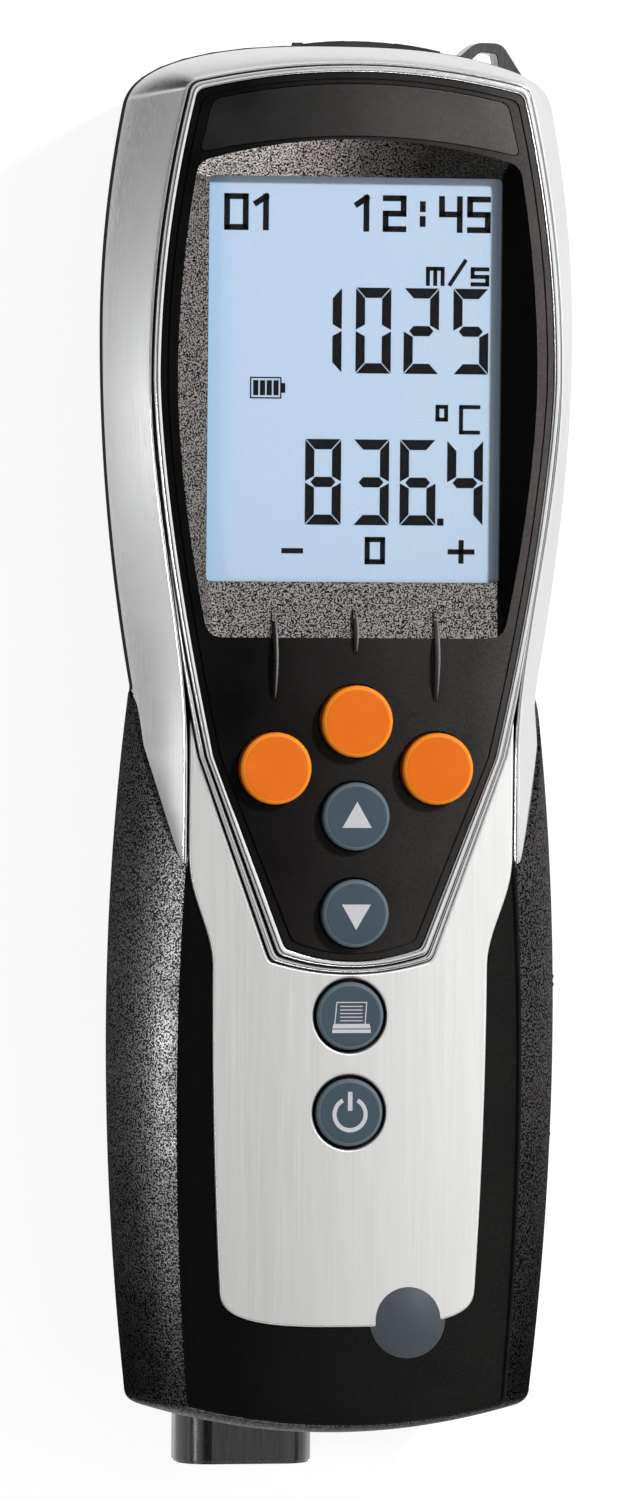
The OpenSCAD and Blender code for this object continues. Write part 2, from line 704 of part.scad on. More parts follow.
// Key cap with a rounded edge, a flange that holds it in and a stem
module key(k) {
    r = k[2] / 2;
    top = k[3];
    flange = k[4] - 0.1;
    translate([k[0], k[1], 0]) rotate_extrude() {
        translate([0, stem_end]) square([2.6, flange - stem_end]);
        translate([0, flange - 1.2]) square([r + key_gap + 0.4, 1.2]);
        translate([0, flange - 1]) square([r, top - key_round - flange + 1]);
        translate([0, flange]) square([r - key_round, top - flange]);
        intersection() {
            translate([r - key_round, top - key_round]) circle(key_round);
            translate([0, top - key_round]) square([r, key_round]);
        }
    }
}

module function_key_left() {
    color("orange") key(KEYS[0]);
}

module function_key_middle() {
    color("orange") key(KEYS[1]);
}

module function_key_right() {
    color("orange") key(KEYS[2]);
}

module up_key() {
    color("slategray") key(KEYS[3]);
}

module down_key() {
    color("slategray") key(KEYS[4]);
}

module print_key() {
    color("slategray") key(KEYS[5]);
}

module power_key() {
    color("slategray") key(KEYS[6]);
}

module keypad_mat() {
    y0 = power_key_y - 8;
    y1 = function_key_y + 8;
    color("lightgray") {
        translate([-19, y0, board_top]) cube([38, y1 - y0, mat_t]);
        for (k = KEYS) {
            translate([k[0], k[1], board_top + mat_t - 0.2])
                cylinder(d = 5, h = post_end - board_top - mat_t + 0.2);
        }
    }
}

module main_board() {
    y0 = power_key_y - 9;
    y1 = HEAD_SCREW[1] + 4;
    color("darkgreen") difference() {
        translate([-25, y0, board_z]) cube([50, y1 - y0, board_t]);
        for (s = [-1, 1]) {
            translate([s * HEAD_SCREW[0], HEAD_SCREW[1], board_z - 1])
                cylinder(d = screw_d + 0.6, h = board_t + 2);
        }
    }
}

module board_chips() {
    color("black") {
        translate([-7, 40, board_top]) cube([14, 14, 1.4]);
        translate([-19, 62, board_top]) cube([10, 7, 1.6]);
        translate([8, 66, board_top]) cube([9, 12, 1.2]);
        translate([12, 30, board_top]) cylinder(d = 8, h = 5);
        translate([-18, 28, board_top]) cube([5, 11, 3.4]);
    }
}

// Plain dome
module badge() {
    r = badge_d / 2;
    z0 = deck_z - 0.6;
    rise = badge_rise + plate_z - z0 - 1;
    ball = (r * r + rise * rise) / (2 * rise);
    color("goldenrod") intersection() {
        translate([badge_x, badge_y, z0]) cylinder(r = r, h = 10);
        translate([badge_x, badge_y, z0 + 1 + rise - ball]) sphere(r = ball, $fn = 96);
        translate([badge_x - 20, badge_y - 20, z0]) cube([40, 40, 10]);
    }
}

module socket_block() {
    color("black") difference() {
        translate([block_x, -block_in, block_z]) rotate([90, 0, 0]) {
            linear_extrude(block_tip - block_in - 0.4) round_box(block_w, block_h, 5);
            linear_extrude(block_tip - block_in) round_box(block_w - 0.6, block_h - 0.6, 4.7);
            linear_extrude(1.6) round_box(block_w + 2, block_h + 1.6, 5);
        }
        for (s = [-1, 1]) {
            translate([block_x + s * socket_pitch / 2, -block_in, block_z]) rotate([90, 0, 0]) {
                translate([0, 0, 1]) cylinder(d = socket_d, h = block_tip);
                // Seat of the insert
                translate([0, 0, -1])
                    cylinder(d = socket_d + 0.4, h = block_tip - block_in - socket_depth + 1);
            }
        }
    }
}

// Insert of a round probe socket, with eight contact holes and a guide slot
module probe_socket(s) {
    length = block_tip - block_in - socket_depth;
    color("dimgray") translate([block_x + s * socket_pitch / 2, -block_in, block_z]) rotate([90, 0, 0])
        difference() {
            cylinder(d = socket_d + 0.2, h = length);
            for (a = [0 : 7]) {
                rotate([0, 0, 22.5 + 45 * a]) translate([2.9, 0, length - 2])
                    cylinder(d = 0.9, h = 3, $fn = 24);
            }
            translate([-1, -0.5, length - 2]) cube([2, 1.4, 3]);
        }
}

module probe_socket_left() {
    probe_socket(-1);
}

module probe_socket_right() {
    probe_socket(1);
}

// Lug with a three-cornered hole for a strap
module strap_eyelet() {
    color("gray") translate([eyelet_x, head_end, eyelet_z]) linear_extrude(eyelet_t) difference() {
        polygon(rounded([[0, -6.4], [eyelet_w - 0.9, -7.8], [eyelet_w, -5.2], [8.5, 0.9], [4.4, 1],
            [0.2, -2.6]], 1.2));
        polygon(rounded([[2.6, -2.7], [8.2, -3.9], [7.6, -0.7], [5, -0.5]], 0.5));
    }
}

// Arched band on the head
function flap_edge(x) = flap_top - flap_bow * pow(x - flap_peak_x, 2);
function flap_band(x0, x1, outer, inner) = concat(
    [for (i = [0 : 10]) let(x = x0 + (x1 - x0) * i / 10) [x, flap_edge(x) + inner]],
    [for (i = [10 : -1 : 0]) let(x = x0 + (x1 - x0) * i / 10) [x, flap_edge(x) + outer]]);

// Where the two ears of the flap hinge start
EARS = [hinge_x - 1.9, hinge_x + hinge_l + 0.3];
ear_w = 1.6;

module interface_cover() {
    color("black") {
        difference() {
            layer(flap_band(flap_x, flap_x + flap_w, 0, -flap_t), flap_z, flap_z + flap_h);
            // Finger notch at the free edge
            translate([flap_x + flap_w / 2, flap_top + 0.6, flap_z + flap_h]) rotate([0, 90, 0])
                cylinder(r = 1.4, h = 8, center = true);
            for (x = EARS) {
                translate([x - 0.3, hinge_y, hinge_z]) rotate([0, 90, 0]) cylinder(r = 1.5, h = ear_w + 0.6);
            }
        }
        translate([hinge_x, hinge_y, hinge_z]) rotate([0, 90, 0]) cylinder(r = hinge_r, h = hinge_l);
        translate([hinge_x, hinge_y - hinge_r, hinge_z])
            cube([hinge_l, hinge_r * 2 - 0.2, flap_z - hinge_z + 0.1]);
        translate([hinge_x - 1, hinge_y, hinge_z]) rotate([0, 90, 0]) cylinder(r = pin_r, h = hinge_l + 2);
    }
}

module hinge_ears() {
    for (x = EARS) {
        difference() {
            union() {
                translate([x, hinge_y, hinge_z]) rotate([0, 90, 0]) cylinder(r = 1, h = ear_w);
                translate([x, hinge_y - 2.4, hinge_z - 1]) cube([ear_w, 2.4, 1.6]);
            }
            translate([x - 1, hinge_y, hinge_z]) rotate([0, 90, 0]) cylinder(r = pin_r + 0.08, h = ear_w + 2);
        }
    }
}

module usb_socket() {
    y1 = flap_top - flap_t - 1.5;
    color("silver") {
        difference() {
            translate([usb_x - 3.8, y1 - 9, board_z - 3.9]) cube([7.6, 9, 3.9]);
            translate([usb_x - 3.4, y1 - 8, board_z - 3.5]) cube([6.8, 9, 3.1]);
        }
        translate([usb_x - 2.4, y1 - 8.5, board_z - 2.4]) cube([4.8, 6.5, 0.9]);
    }
}

// Low dark window beside the flap
function infrared_edge(x) = head_end + 0.2 - 0.0044 * x * x;
function infrared_band(x0, x1, outer, inner) = concat(
    [for (i = [0 : 6]) let(x = x0 + (x1 - x0) * i / 6) [x, infrared_edge(x) + inner]],
    [for (i = [6 : -1 : 0]) let(x = x0 + (x1 - x0) * i / 6) [x, infrared_edge(x) + outer]]);

module infrared_window() {
    x1 = flap_x - 0.6;
    color("maroon") layer(infrared_band(x1 - infrared_w, x1, 0, -1.7), flap_z + 1, flap_z + flap_h - 1.4);
}

// Rear shell: flat back, round edges, sloping head end
function back_levels(t) = concat(
    [for (i = [0 : 6]) let(a = 90 - 15 * i)
        [t + (back_rise - t) * (1 - sin(a)), back_draft + back_round * (1 - cos(a)),
            end_draft + back_round * (1 - cos(a)), end_draft + head_slope * (1 - cos(a))]],
    [[split_z + 1, 0, 0, 0]]);

// The skin starts below its flat and ends above its rim, and is trimmed to both
module back_skin(t) {
    intersection() {
        skin([for (l = back_levels(t)) let(p = outline("rear", l[1] + t, l[2] + t, l[3] + t))
            [for (q = p) [q[0], q[1], l[0] > t ? l[0] : t - 0.3]]]);
        translate([-60, -130, t]) cube([120, 260, split_z - t + (t > 0 ? 0.5 : 0)]);
    }
}

module cover_region(gap) {
    end = grip_end + 20;
    half_w = cover_w / 2 + gap;
    translate([-half_w, -end, -1]) cube([2 * half_w, end + cover_top_y + gap, cover_t + 1 + gap * 0.75]);
    translate([-half_w - rail, -end, rail_z - gap * 0.75])
        cube([2 * half_w + 2 * rail, end + cover_top_y + gap, cover_t - rail_z + gap * 1.5]);
}

module rear_housing() {
    color("black") {
        rear_shell();
        hinge_ears();
    }
}

// What stands inside the rear shell: bay, floor over the battery cover, bosses and posts
module rear_inside() {
    translate([-bay_w / 2 - bay_wall, bay_mid_y - bay_l / 2 - bay_wall, 0])
        cube([bay_w + 2 * bay_wall, bay_l + 2 * bay_wall, bay_roof + bay_wall]);
    translate([-40, -grip_end - 1, 0]) cube([80, grip_end + cover_top_y + 3, cover_t + 1.6]);
    for (s = [-1, 1]) {
        translate([s * HEAD_SCREW[0], HEAD_SCREW[1], 0]) cylinder(d = 8.4, h = board_z);
        translate([s * FOOT_SCREW[0], FOOT_SCREW[1], 0]) cylinder(d = 8.4, h = split_z);
        translate([s * magnet_x, magnet_y, 0]) cylinder(d = magnet_d + 3, h = magnet_t + 1.4);
        translate([s * 18, bay_mid_y, 0]) cylinder(d = 4, h = board_z);
    }
}

module rear_shell() {
    difference() {
        back_skin(0);
        difference() {
            back_skin(wall);
            rear_inside();
        }
        translate([-bay_w / 2, bay_mid_y - bay_l / 2, -1]) cube([bay_w, bay_l, bay_roof + 1]);
        cover_region(slide_gap);
        for (s = [-1, 1]) {
            for (p = [HEAD_SCREW, FOOT_SCREW]) {
                translate([s * p[0], p[1], -1])
                    cylinder(d = screw_head_d + 0.4, h = screw_head_z + screw_head_t + 1);
                translate([s * p[0], p[1], -1]) cylinder(d = screw_d + 0.4, h = split_z + 5);
            }
            translate([s * magnet_x, magnet_y, -1]) cylinder(d = magnet_d + 0.1, h = magnet_t + 1);
        }
        // Openings in the end walls
        translate([block_x, -block_in - 1.8, block_z]) rotate([90, 0, 0])
            linear_extrude(30) round_box(block_w + 0.3, block_h + 0.3, 5.15);
        translate([eyelet_x - 0.4, head_end - 8.2, eyelet_z - fit])
            cube([eyelet_w + 0.7, 12, eyelet_t + 2 * fit]);
        layer(flap_band(flap_x - 0.2, flap_x + flap_w + 0.2, 4, -flap_t - 0.2), flap_z - 0.2,
            flap_z + flap_h + 0.25);
        layer(infrared_band(flap_x - 0.7 - infrared_w, flap_x - 0.5, 4, -1.8), flap_z + 0.9,
            flap_z + flap_h - 1.3);
        translate([usb_x - 3.95, head_end - 14, board_z - 4.05]) cube([7.9, 14, 4.2]);
        translate([hinge_x - 0.3, hinge_y, hinge_z]) rotate([0, 90, 0])
            cylinder(r = hinge_r + 0.2, h = hinge_l + 0.6);
    }
}

module battery_cells() {
    color("goldenrod") for (i = [-1, 0, 1]) {
        translate([i * cell_pitch, bay_mid_y, cell_z]) rotate([i == 0 ? 90 : -90, 0, 0]) {
            translate([0, 0, -cell_l / 2]) cylinder(d = cell_d, h = cell_l - 1.2);
            cylinder(d = 5.5, h = cell_l / 2);
        }
    }
}

// Bowed leaf contacts at both ends of the bay
leaf_t = 0.3;
function leaf(x) = (contact_d - leaf_t) * pow(cos(15 * x), 2);
module battery_contacts() {
    color("silver") for (i = [-1, 0, 1], e = [-1, 1]) {
        translate([i * cell_pitch, bay_mid_y + e * bay_l / 2, cell_z - 4]) mirror([0, e > 0 ? 1 : 0, 0])
            linear_extrude(8) polygon(concat(
                [for (x = [-6 : 2 : 6]) [x, leaf(x)]],
                [for (x = [6 : -2 : -6]) [x, leaf(x) + leaf_t]]));
    }
}

module battery_cover() {
    color("black") difference() {
        intersection() {
            back_skin(0);
            union() {
                translate([-cover_w / 2, -grip_end - 5, -1])
                    cube([cover_w, grip_end + 5 + cover_top_y, cover_t + 1]);
                translate([-cover_w / 2 - rail, -grip_end - 5, rail_z])
                    cube([cover_w + 2 * rail, grip_end + 5 + cover_top_y, cover_t - rail_z]);
            }
        }
        // Finger ribs
        for (i = [0 : 5]) {
            translate([-8, cover_top_y - 14 + 2 * i, -0.4]) cube([16, 1, 0.8]);
        }
    }
}

module rear_magnets() {
    color("silver") for (s = [-1, 1]) {
        translate([s * magnet_x, magnet_y, 0]) cylinder(d = magnet_d, h = magnet_t);
    }
}

module housing_screws() {
    color("silver") for (s = [-1, 1], p = [HEAD_SCREW, FOOT_SCREW]) {
        translate([s * p[0], p[1], 0]) difference() {
            union() {
                translate([0, 0, screw_head_z]) cylinder(d = screw_head_d, h = screw_head_t);
                translate([0, 0, screw_head_z + 1]) cylinder(d = screw_d, h = screw_end_z - screw_head_z - 1);
            }
            for (a = [0, 90]) {
                rotate([0, 0, a]) translate([-1.6, -0.4, screw_head_z - 1]) cube([3.2, 0.8, 2]);
            }
        }
    }
}

front_frame();
display_panel();
name_strip();
display_window();
lcd_glass();
lcd_holder();
backlight();
keypad_plate();
grip_sleeve();
function_key_left();
function_key_middle();
function_key_right();
up_key();
down_key();
print_key();
power_key();
keypad_mat();
main_board();
board_chips();
badge();
socket_block();
probe_socket_left();
probe_socket_right();
strap_eyelet();
interface_cover();
usb_socket();
infrared_window();
rear_housing();
battery_cells();
battery_contacts();
battery_cover();
rear_magnets();
housing_screws();
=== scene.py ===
import math

import bmesh
import bpy
from mathutils import Matrix, Vector
from mathutils.geometry import tessellate_polygon
from mathutils.kdtree import KDTree


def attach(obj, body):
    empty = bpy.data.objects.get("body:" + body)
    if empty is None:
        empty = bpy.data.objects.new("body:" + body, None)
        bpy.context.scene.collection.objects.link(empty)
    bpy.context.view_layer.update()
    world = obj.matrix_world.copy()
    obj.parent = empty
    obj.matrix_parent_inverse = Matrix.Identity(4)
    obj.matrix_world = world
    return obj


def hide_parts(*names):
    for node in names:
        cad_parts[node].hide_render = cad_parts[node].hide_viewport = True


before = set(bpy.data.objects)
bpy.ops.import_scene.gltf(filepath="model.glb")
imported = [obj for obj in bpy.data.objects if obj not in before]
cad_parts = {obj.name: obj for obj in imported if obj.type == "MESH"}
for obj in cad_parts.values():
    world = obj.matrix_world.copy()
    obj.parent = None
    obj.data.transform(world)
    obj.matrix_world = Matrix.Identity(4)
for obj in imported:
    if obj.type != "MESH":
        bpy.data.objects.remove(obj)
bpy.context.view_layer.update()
scene = bpy.context.scene
MM = 0.001


# Camera, light and floor

# Brightness of the studio once round, from -y over -x, +y and +x back to -y, and from the horizon up
PANELS_AROUND = (
    (0.0, 0.55), (0.15, 0.30), (0.204, 0.30), (0.220, 0.55), (0.233, 0.88), (0.243, 0.95), (0.257, 0.70),
    (0.275, 0.40), (0.295, 0.26), (0.308, 0.28), (0.318, 0.90), (0.326, 0.90), (0.338, 0.06), (0.425, 0.04),
    (0.465, 0.50), (0.490, 0.95), (0.60, 0.98), (0.75, 0.80), (1.0, 0.55))
PANELS_UP = (
    (0.0, 0.30), (0.03, 0.42), (0.07, 0.72), (0.12, 0.90), (0.20, 1.0), (0.30, 1.0), (0.36, 0.60), (0.42, 0.20),
    (0.62, 0.10), (1.0, 0.10))
# Screens that only reflections show, so that the bright frame is bright from the left too: low ones and a ring
LOW_AROUND = (
    (0.0, 0.3), (0.08, 0.55), (0.16, 0.5), (0.20, 0.0), (0.31, 0.0), (0.35, 0.55), (0.45, 0.55), (0.49, 0.0))
LOW_UP = ((0.34, 0.0), (0.42, 1.0), (0.74, 1.0), (0.80, 0.0))
RING_AROUND = ((0.0, 0.3), (0.08, 0.55), (0.50, 0.55), (0.60, 0.0))
RING_UP = ((0.72, 0.0), (0.78, 1.0), (0.90, 1.0), (0.94, 0.0))
STUDIO_STRENGTH = 1.5
LAMPS = (  # name, place, aim and size in metres, power in watts
    ("key", (0.66, 0.60, 1.05), (0, 0.01, 0.03), (0.16, 0.16), 18.3),
    ("left", (-0.82, -0.10, 0.72), (0, -0.04, 0.03), (0.14, 0.10), 2.6),
    ("over", (0.64, -0.05, 1.12), (0, 0, 0.03), (0.78, 1.0), 2.4),
    ("low", (1.1, 0.15, 0.40), (0, 0.05, 0.03), (0.6, 0.6), 1.4),
    ("foot", (0.05, -1.15, 0.34), (0, -0.1, 0.03), (0.6, 0.09), 2.3),
)


def make_camera():
    """A long lens over the front, turned a little to the left."""
    yaw, pitch, roll = math.radians(11.506), math.radians(1.679), math.radians(0.528)
    target, distance = Vector((-2.92, 0.688, 30.0)) * MM, 1.6
    back = Vector((-math.sin(yaw) * math.cos(pitch), math.sin(pitch), math.cos(yaw) * math.cos(pitch)))
    right = Vector((0, 1, 0)).cross(back).normalized()
    up = back.cross(right)
    side = right * math.cos(roll) + up * math.sin(roll)
    top = up * math.cos(roll) - right * math.sin(roll)
    data = bpy.data.cameras.new("camera")
    data.sensor_fit = "VERTICAL"
    data.sensor_height = 36
    data.lens = 249.65
    data.clip_start = 0.1
    data.clip_end = 10
    cam = bpy.data.objects.new("camera", data)
    scene.collection.objects.link(cam)
    turned = Matrix((side, top, back)).transposed().to_4x4()
    cam.matrix_world = Matrix.Translation(target + back * distance) @ turned
    scene.camera = cam


def area_light(name, place, aim, size, power):
    data = bpy.data.lights.new(name, "AREA")
    data.shape = "RECTANGLE"
    data.size, data.size_y = size
    data.energy = power
    lamp = bpy.data.objects.new(name, data)
    scene.collection.objects.link(lamp)
    lamp.location = place
    lamp.rotation_euler = (Vector(aim) - Vector(place)).to_track_quat("-Z", "Y").to_euler()


def add_ramp(tree, fac, stops):
    """A colour ramp on a socket. Each stop is a position with a grey level or a colour."""
    node = tree.nodes.new("ShaderNodeValToRGB")
    elements = node.color_ramp.elements
    while len(elements) < len(stops):
        elements.new(0.5)
    for i, (position, tone) in enumerate(stops):
        elements[i].position = position
        elements[i].color = (tone, tone, tone, 1) if isinstance(tone, (int, float)) else (*tone, 1)
    tree.links.new(fac, node.inputs["Fac"])
    return node.outputs["Color"]


def add_mix(tree, kind, a, b, fac=1.0):
    """Two colour sockets, put together in one of the blend modes."""
    node = tree.nodes.new("ShaderNodeMixRGB")
    node.blend_type = kind
    node.inputs["Fac"].default_value = fac
    tree.links.new(a, node.inputs["Color1"])
    tree.links.new(b, node.inputs["Color2"])
    return node.outputs["Color"]


def make_world():
    """A studio round the object: white panels low down with dark gaps between them, and a dark ceiling."""
    world = bpy.data.worlds.new("studio")
    scene.world = world
    world.use_nodes = True
    nt = world.node_tree
    nt.nodes.clear()
    out = nt.nodes.new("ShaderNodeOutputWorld")
    light = nt.nodes.new("ShaderNodeBackground")
    coord = nt.nodes.new("ShaderNodeTexCoord")
    sep = nt.nodes.new("ShaderNodeSeparateXYZ")
    turn = nt.nodes.new("ShaderNodeMath")
    share = nt.nodes.new("ShaderNodeMath")
    path = nt.nodes.new("ShaderNodeLightPath")
    turn.operation = "ARCTAN2"
    share.operation = "MULTIPLY_ADD"
    share.inputs[1].default_value = 0.5 / math.pi
    share.inputs[2].default_value = 0.5
    light.inputs["Strength"].default_value = STUDIO_STRENGTH
    nt.links.new(coord.outputs["Generated"], sep.inputs[0])
    nt.links.new(sep.outputs["X"], turn.inputs[0])
    nt.links.new(sep.outputs["Y"], turn.inputs[1])
    nt.links.new(turn.outputs[0], share.inputs[0])

    def glow(around, up):
        return add_mix(nt, "MULTIPLY", add_ramp(nt, share.outputs[0], around), add_ramp(nt, sep.outputs["Z"], up))

    screens = add_mix(nt, "LIGHTEN", glow(LOW_AROUND, LOW_UP), glow(RING_AROUND, RING_UP))
    in_reflections = add_mix(nt, "MULTIPLY", screens, path.outputs["Is Glossy Ray"])
    nt.links.new(add_mix(nt, "ADD", glow(PANELS_AROUND, PANELS_UP), in_reflections), light.inputs["Color"])
    nt.links.new(light.outputs[0], out.inputs[0])


def make_floor():
    """A pale floor that looks near white to the camera and in reflections, and keeps the object's shadow."""
    half, level, tone, glow = 2.5, -0.0003, 0.24, 0.87
    me = bpy.data.meshes.new("floor")
    corners = ((-half, -half), (half, -half), (half, half), (-half, half))
    me.from_pydata([(x, y, level) for x, y in corners], [], [(0, 1, 2, 3)])
    floor = bpy.data.objects.new("floor", me)
    scene.collection.objects.link(floor)
    m = bpy.data.materials.new("floor")
    m.use_nodes = True
    nt = m.node_tree
    b = nt.nodes["Principled BSDF"]
    b.inputs["Base Color"].default_value = (tone, tone, tone, 1)
    b.inputs["Roughness"].default_value = 0.9
    b.inputs["Specular IOR Level"].default_value = 0
    b.inputs["Emission Color"].default_value = (1, 1, 1, 1)
    path = nt.nodes.new("ShaderNodeLightPath")
    direct = nt.nodes.new("ShaderNodeMath")
    seen = nt.nodes.new("ShaderNodeMath")
    strength = nt.nodes.new("ShaderNodeMath")
    seen.use_clamp = True
    strength.operation = "MULTIPLY"
    strength.inputs[1].default_value = glow
    nt.links.new(path.outputs["Is Camera Ray"], direct.inputs[0])
    nt.links.new(path.outputs["Is Glossy Ray"], direct.inputs[1])
    nt.links.new(direct.outputs[0], seen.inputs[0])
    nt.links.new(path.outputs["Is Transmission Ray"], seen.inputs[1])
    nt.links.new(seen.outputs[0], strength.inputs[0])
    nt.links.new(strength.outputs[0], b.inputs["Emission Strength"])
    me.materials.append(m)


make_camera()
make_world()
make_floor()
for lamp in LAMPS:
    area_light(*lamp)


# Materials

# The slow runs of brightness are painted light and shade across the object.
PAINTED_LIGHT_W = 0.06  # width of the slow runs of brightness, in metres
BODY_L = 0.22  # length of the object, in metres


class Look:
    """A Principled material and the few node patterns that the pieces share."""

    def __init__(self, name, colour, rough, metal=0.0, **sockets):
        self.m = bpy.data.materials.new(name)
        self.m.use_nodes = True
        self.nt = self.m.node_tree
        self.b = self.nt.nodes["Principled BSDF"]
        self.b.inputs["Base Color"].default_value = (*colour, 1)
        self.b.inputs["Roughness"].default_value = rough
        self.b.inputs["Metallic"].default_value = metal
        for k, v in sockets.items():
            self.b.inputs[k.replace("_", " ")].default_value = v

    def node(self, kind):
        return self.nt.nodes.new("ShaderNode" + kind)

    def link(self, a, b):
        self.nt.links.new(a, b)

    def calc(self, kind, *values):
        """A Math node: sockets are linked, numbers are set."""
        n = self.node("Math")
        n.operation = kind
        for i, v in enumerate(values):
            if isinstance(v, (int, float)):
                n.inputs[i].default_value = v
            else:
                self.link(v, n.inputs[i])
        return n.outputs[0]

    def axis(self, name):
        """The object's own coordinate along one axis."""
        coord = self.node("TexCoord")
        sep = self.node("SeparateXYZ")
        self.link(coord.outputs["Object"], sep.inputs[0])
        return sep.outputs[name]

    def place(self, stretch=(1, 1, 1)):
        coord = self.node("TexCoord")
        mapping = self.node("Mapping")
        mapping.inputs["Scale"].default_value = stretch
        self.link(coord.outputs["Object"], mapping.inputs["Vector"])
        return mapping.outputs["Vector"]

    def noise(self, scale, detail=2.0, stretch=(1, 1, 1), rough=0.5):
        n = self.node("TexNoise")
        n.inputs["Scale"].default_value = scale
        n.inputs["Detail"].default_value = detail
        n.inputs["Roughness"].default_value = rough
        self.link(self.place(stretch), n.inputs["Vector"])
        return n.outputs["Fac"]

    def across(self, width, *stops, axis="X"):
        """A ramp from the left to the right side of the object, or from its foot to its head with axis Y."""
        return self.ramp(self.calc("MULTIPLY_ADD", self.axis(axis), 1 / width, 0.5), *stops)

    def ramp(self, fac, *stops):
        return add_ramp(self.nt, fac, stops)

    def blend(self, kind, fac, a, b):
        return add_mix(self.nt, kind, a, b, fac)

    def colour(self, out):
        self.link(out, self.b.inputs["Base Color"])

    def rough(self, out):
        self.link(out, self.b.inputs["Roughness"])

    def bump(self, height, depth, strength=1.0):
        n = self.node("Bump")
        before = self.b.inputs["Normal"].links
        if before:
            self.link(before[0].from_socket, n.inputs["Normal"])
        n.inputs["Distance"].default_value = depth * MM
        n.inputs["Strength"].default_value = strength
        self.link(height, n.inputs["Height"])
        self.link(n.outputs["Normal"], self.b.inputs["Normal"])

    def crown(self, half, depth):
        """A slow rise of the surface towards the middle line."""
        x = self.axis("X")
        self.bump(self.calc("MULTIPLY", self.calc("MULTIPLY", x, x), -1 / (half * MM) ** 2), depth)


def plastic(name, dark, light, rough, grain=2500, depth=0.02, gloss=0.28, crown=0, painted_light=None):
    """Moulded plastic: fine spark grain, slight shade and gloss variation.

    The last argument paints light and shade across the object: the brightness on the left, on the right and, where it
    goes on rising, at the right edge.
    """
    k = Look(name, dark, rough, Specular_IOR_Level=gloss)
    fine = k.noise(grain, 2.0)
    wide = k.noise(90, 3.0)
    tone = k.blend("MIX", 0.35, k.ramp(fine, (0.35, dark), (0.68, light)), k.ramp(wide, (0.3, dark), (0.7, light)))
    # painted light and shade: the colour darkens on the left and brightens towards the right
    if painted_light:
        tone = k.blend("MULTIPLY", 1.0, tone, k.across(PAINTED_LIGHT_W, *zip((0.2, 0.8, 1.0), painted_light)))
    k.colour(tone)
    k.rough(k.ramp(wide, (0.3, rough - 0.08), (0.7, rough + 0.08)))
    if crown:
        k.crown(30, crown)
    k.bump(fine, depth, 0.8)
    return k.m


def speckled(name, dark, light, rough, grain, depth, gloss, painted_light=None, foot=None):
    """Eroded texture: fine pits that sparkle where a lamp shines off them.

    The argument after gloss holds stops of painted light and shade from left to right; foot is painted shade, the
    brightness of the flanks just above the foot.
    """
    k = Look(name, dark, rough, Specular_IOR_Level=gloss)
    pits = k.noise(grain, 0.0)
    wide = k.noise(140, 2.0)
    specks = k.ramp(pits, (0.46, dark), (0.54, light))
    shine = k.ramp(pits, (0.38, 0.06), (0.62, gloss * 2))
    # painted light and shade on the specks, from left to right
    if painted_light:
        specks = k.blend("MULTIPLY", 1.0, specks, k.across(PAINTED_LIGHT_W, *painted_light))
    # painted shade: specks and gloss darken on the flanks just above the foot
    if foot:
        along = k.across(BODY_L, (0.044, 1.0), (0.056, foot), (0.28, 1.0), axis="Y")
        specks, shine = (k.blend("MULTIPLY", 1.0, v, along) for v in (specks, shine))
    k.colour(specks)
    k.rough(k.ramp(wide, (0.3, rough - 0.04), (0.7, rough + 0.05)))
    k.link(shine, k.b.inputs["Specular IOR Level"])
    k.bump(pits, depth, 1.0)
    return k.m


def satin_chrome():
    k = Look("satin_chrome", (0.66, 0.66, 0.665), 0.16, 1.0)
    brush = k.noise(900, 3.0, (5.0, 0.06, 5.0), 0.6)
    wide = k.noise(45, 2.0)
    k.colour(k.ramp(wide, (0.3, (0.64, 0.64, 0.645)), (0.7, (0.69, 0.69, 0.695))))
    k.rough(k.ramp(brush, (0.3, 0.13), (0.7, 0.24)))
    k.bump(brush, 0.003, 0.5)
    return k.m


def brushed_plate():
    k = Look("brushed_plate", (0.66, 0.66, 0.655), 0.46, 0.75)
    brush = k.noise(1300, 3.0, (4.0, 0.03, 1.0), 0.6)
    fine = k.noise(3000, 2.0, (2.0, 0.02, 1.0), 0.6)
    lines = k.blend("MIX", 0.5, brush, fine)
    tone = k.ramp(lines, (0.30, (0.635, 0.633, 0.624)), (0.70, (0.715, 0.712, 0.702)))
    # Painted shade: the plate darkens towards its left side.
    k.colour(k.blend("MULTIPLY", 1.0, tone, k.across(0.05, (0.25, 0.73), (0.9, 1.0))))
    k.rough(k.ramp(lines, (0.3, 0.42), (0.7, 0.50)))
    k.bump(lines, 0.002, 0.5)
    return k.m


def key_plastic(name, colour, light):
    k = Look(name, colour, 0.42, Specular_IOR_Level=0.10)
    fine = k.noise(1800, 2.0)
    wide = k.noise(160, 2.0)
    patches, grain = k.ramp(wide, (0.3, colour), (0.7, light)), k.ramp(fine, (0.35, colour), (0.7, light))
    k.colour(k.blend("MIX", 0.3, patches, grain))
    k.rough(k.ramp(wide, (0.3, 0.36), (0.7, 0.48)))
    k.bump(fine, 0.008, 0.6)
    return k.m


def lcd_face():
    width = 0.0457
    # Painted glow: the face glows faintly, though no lamp lights it from behind.
    k = Look("lcd_face", (0.49, 0.62, 0.80), 0.4, Emission_Color=(0.50, 0.64, 0.82, 1), Emission_Strength=0.06)
    tone = k.across(width, (0.0, (0.36, 0.60, 0.87)), (0.10, (0.49, 0.63, 0.815)), (1.0, (0.50, 0.635, 0.80)))
    grain = k.ramp(k.noise(2400, 2.0), (0.3, 0.94), (0.7, 1.0))
    k.colour(k.blend("MULTIPLY", 1.0, tone, grain))
    return k.m


def clear_pane():
    k = Look("clear_pane", (0.02, 0.02, 0.02), 0.04, Specular_IOR_Level=0.6)
    weight = k.node("LayerWeight")
    weight.inputs["Blend"].default_value = 0.25
    k.link(k.ramp(weight.outputs["Fresnel"], (0.0, 0.02), (1.0, 0.55)), k.b.inputs["Alpha"])
    k.rough(k.ramp(k.noise(60, 2.0), (0.3, 0.03), (0.7, 0.06)))
    return k.m


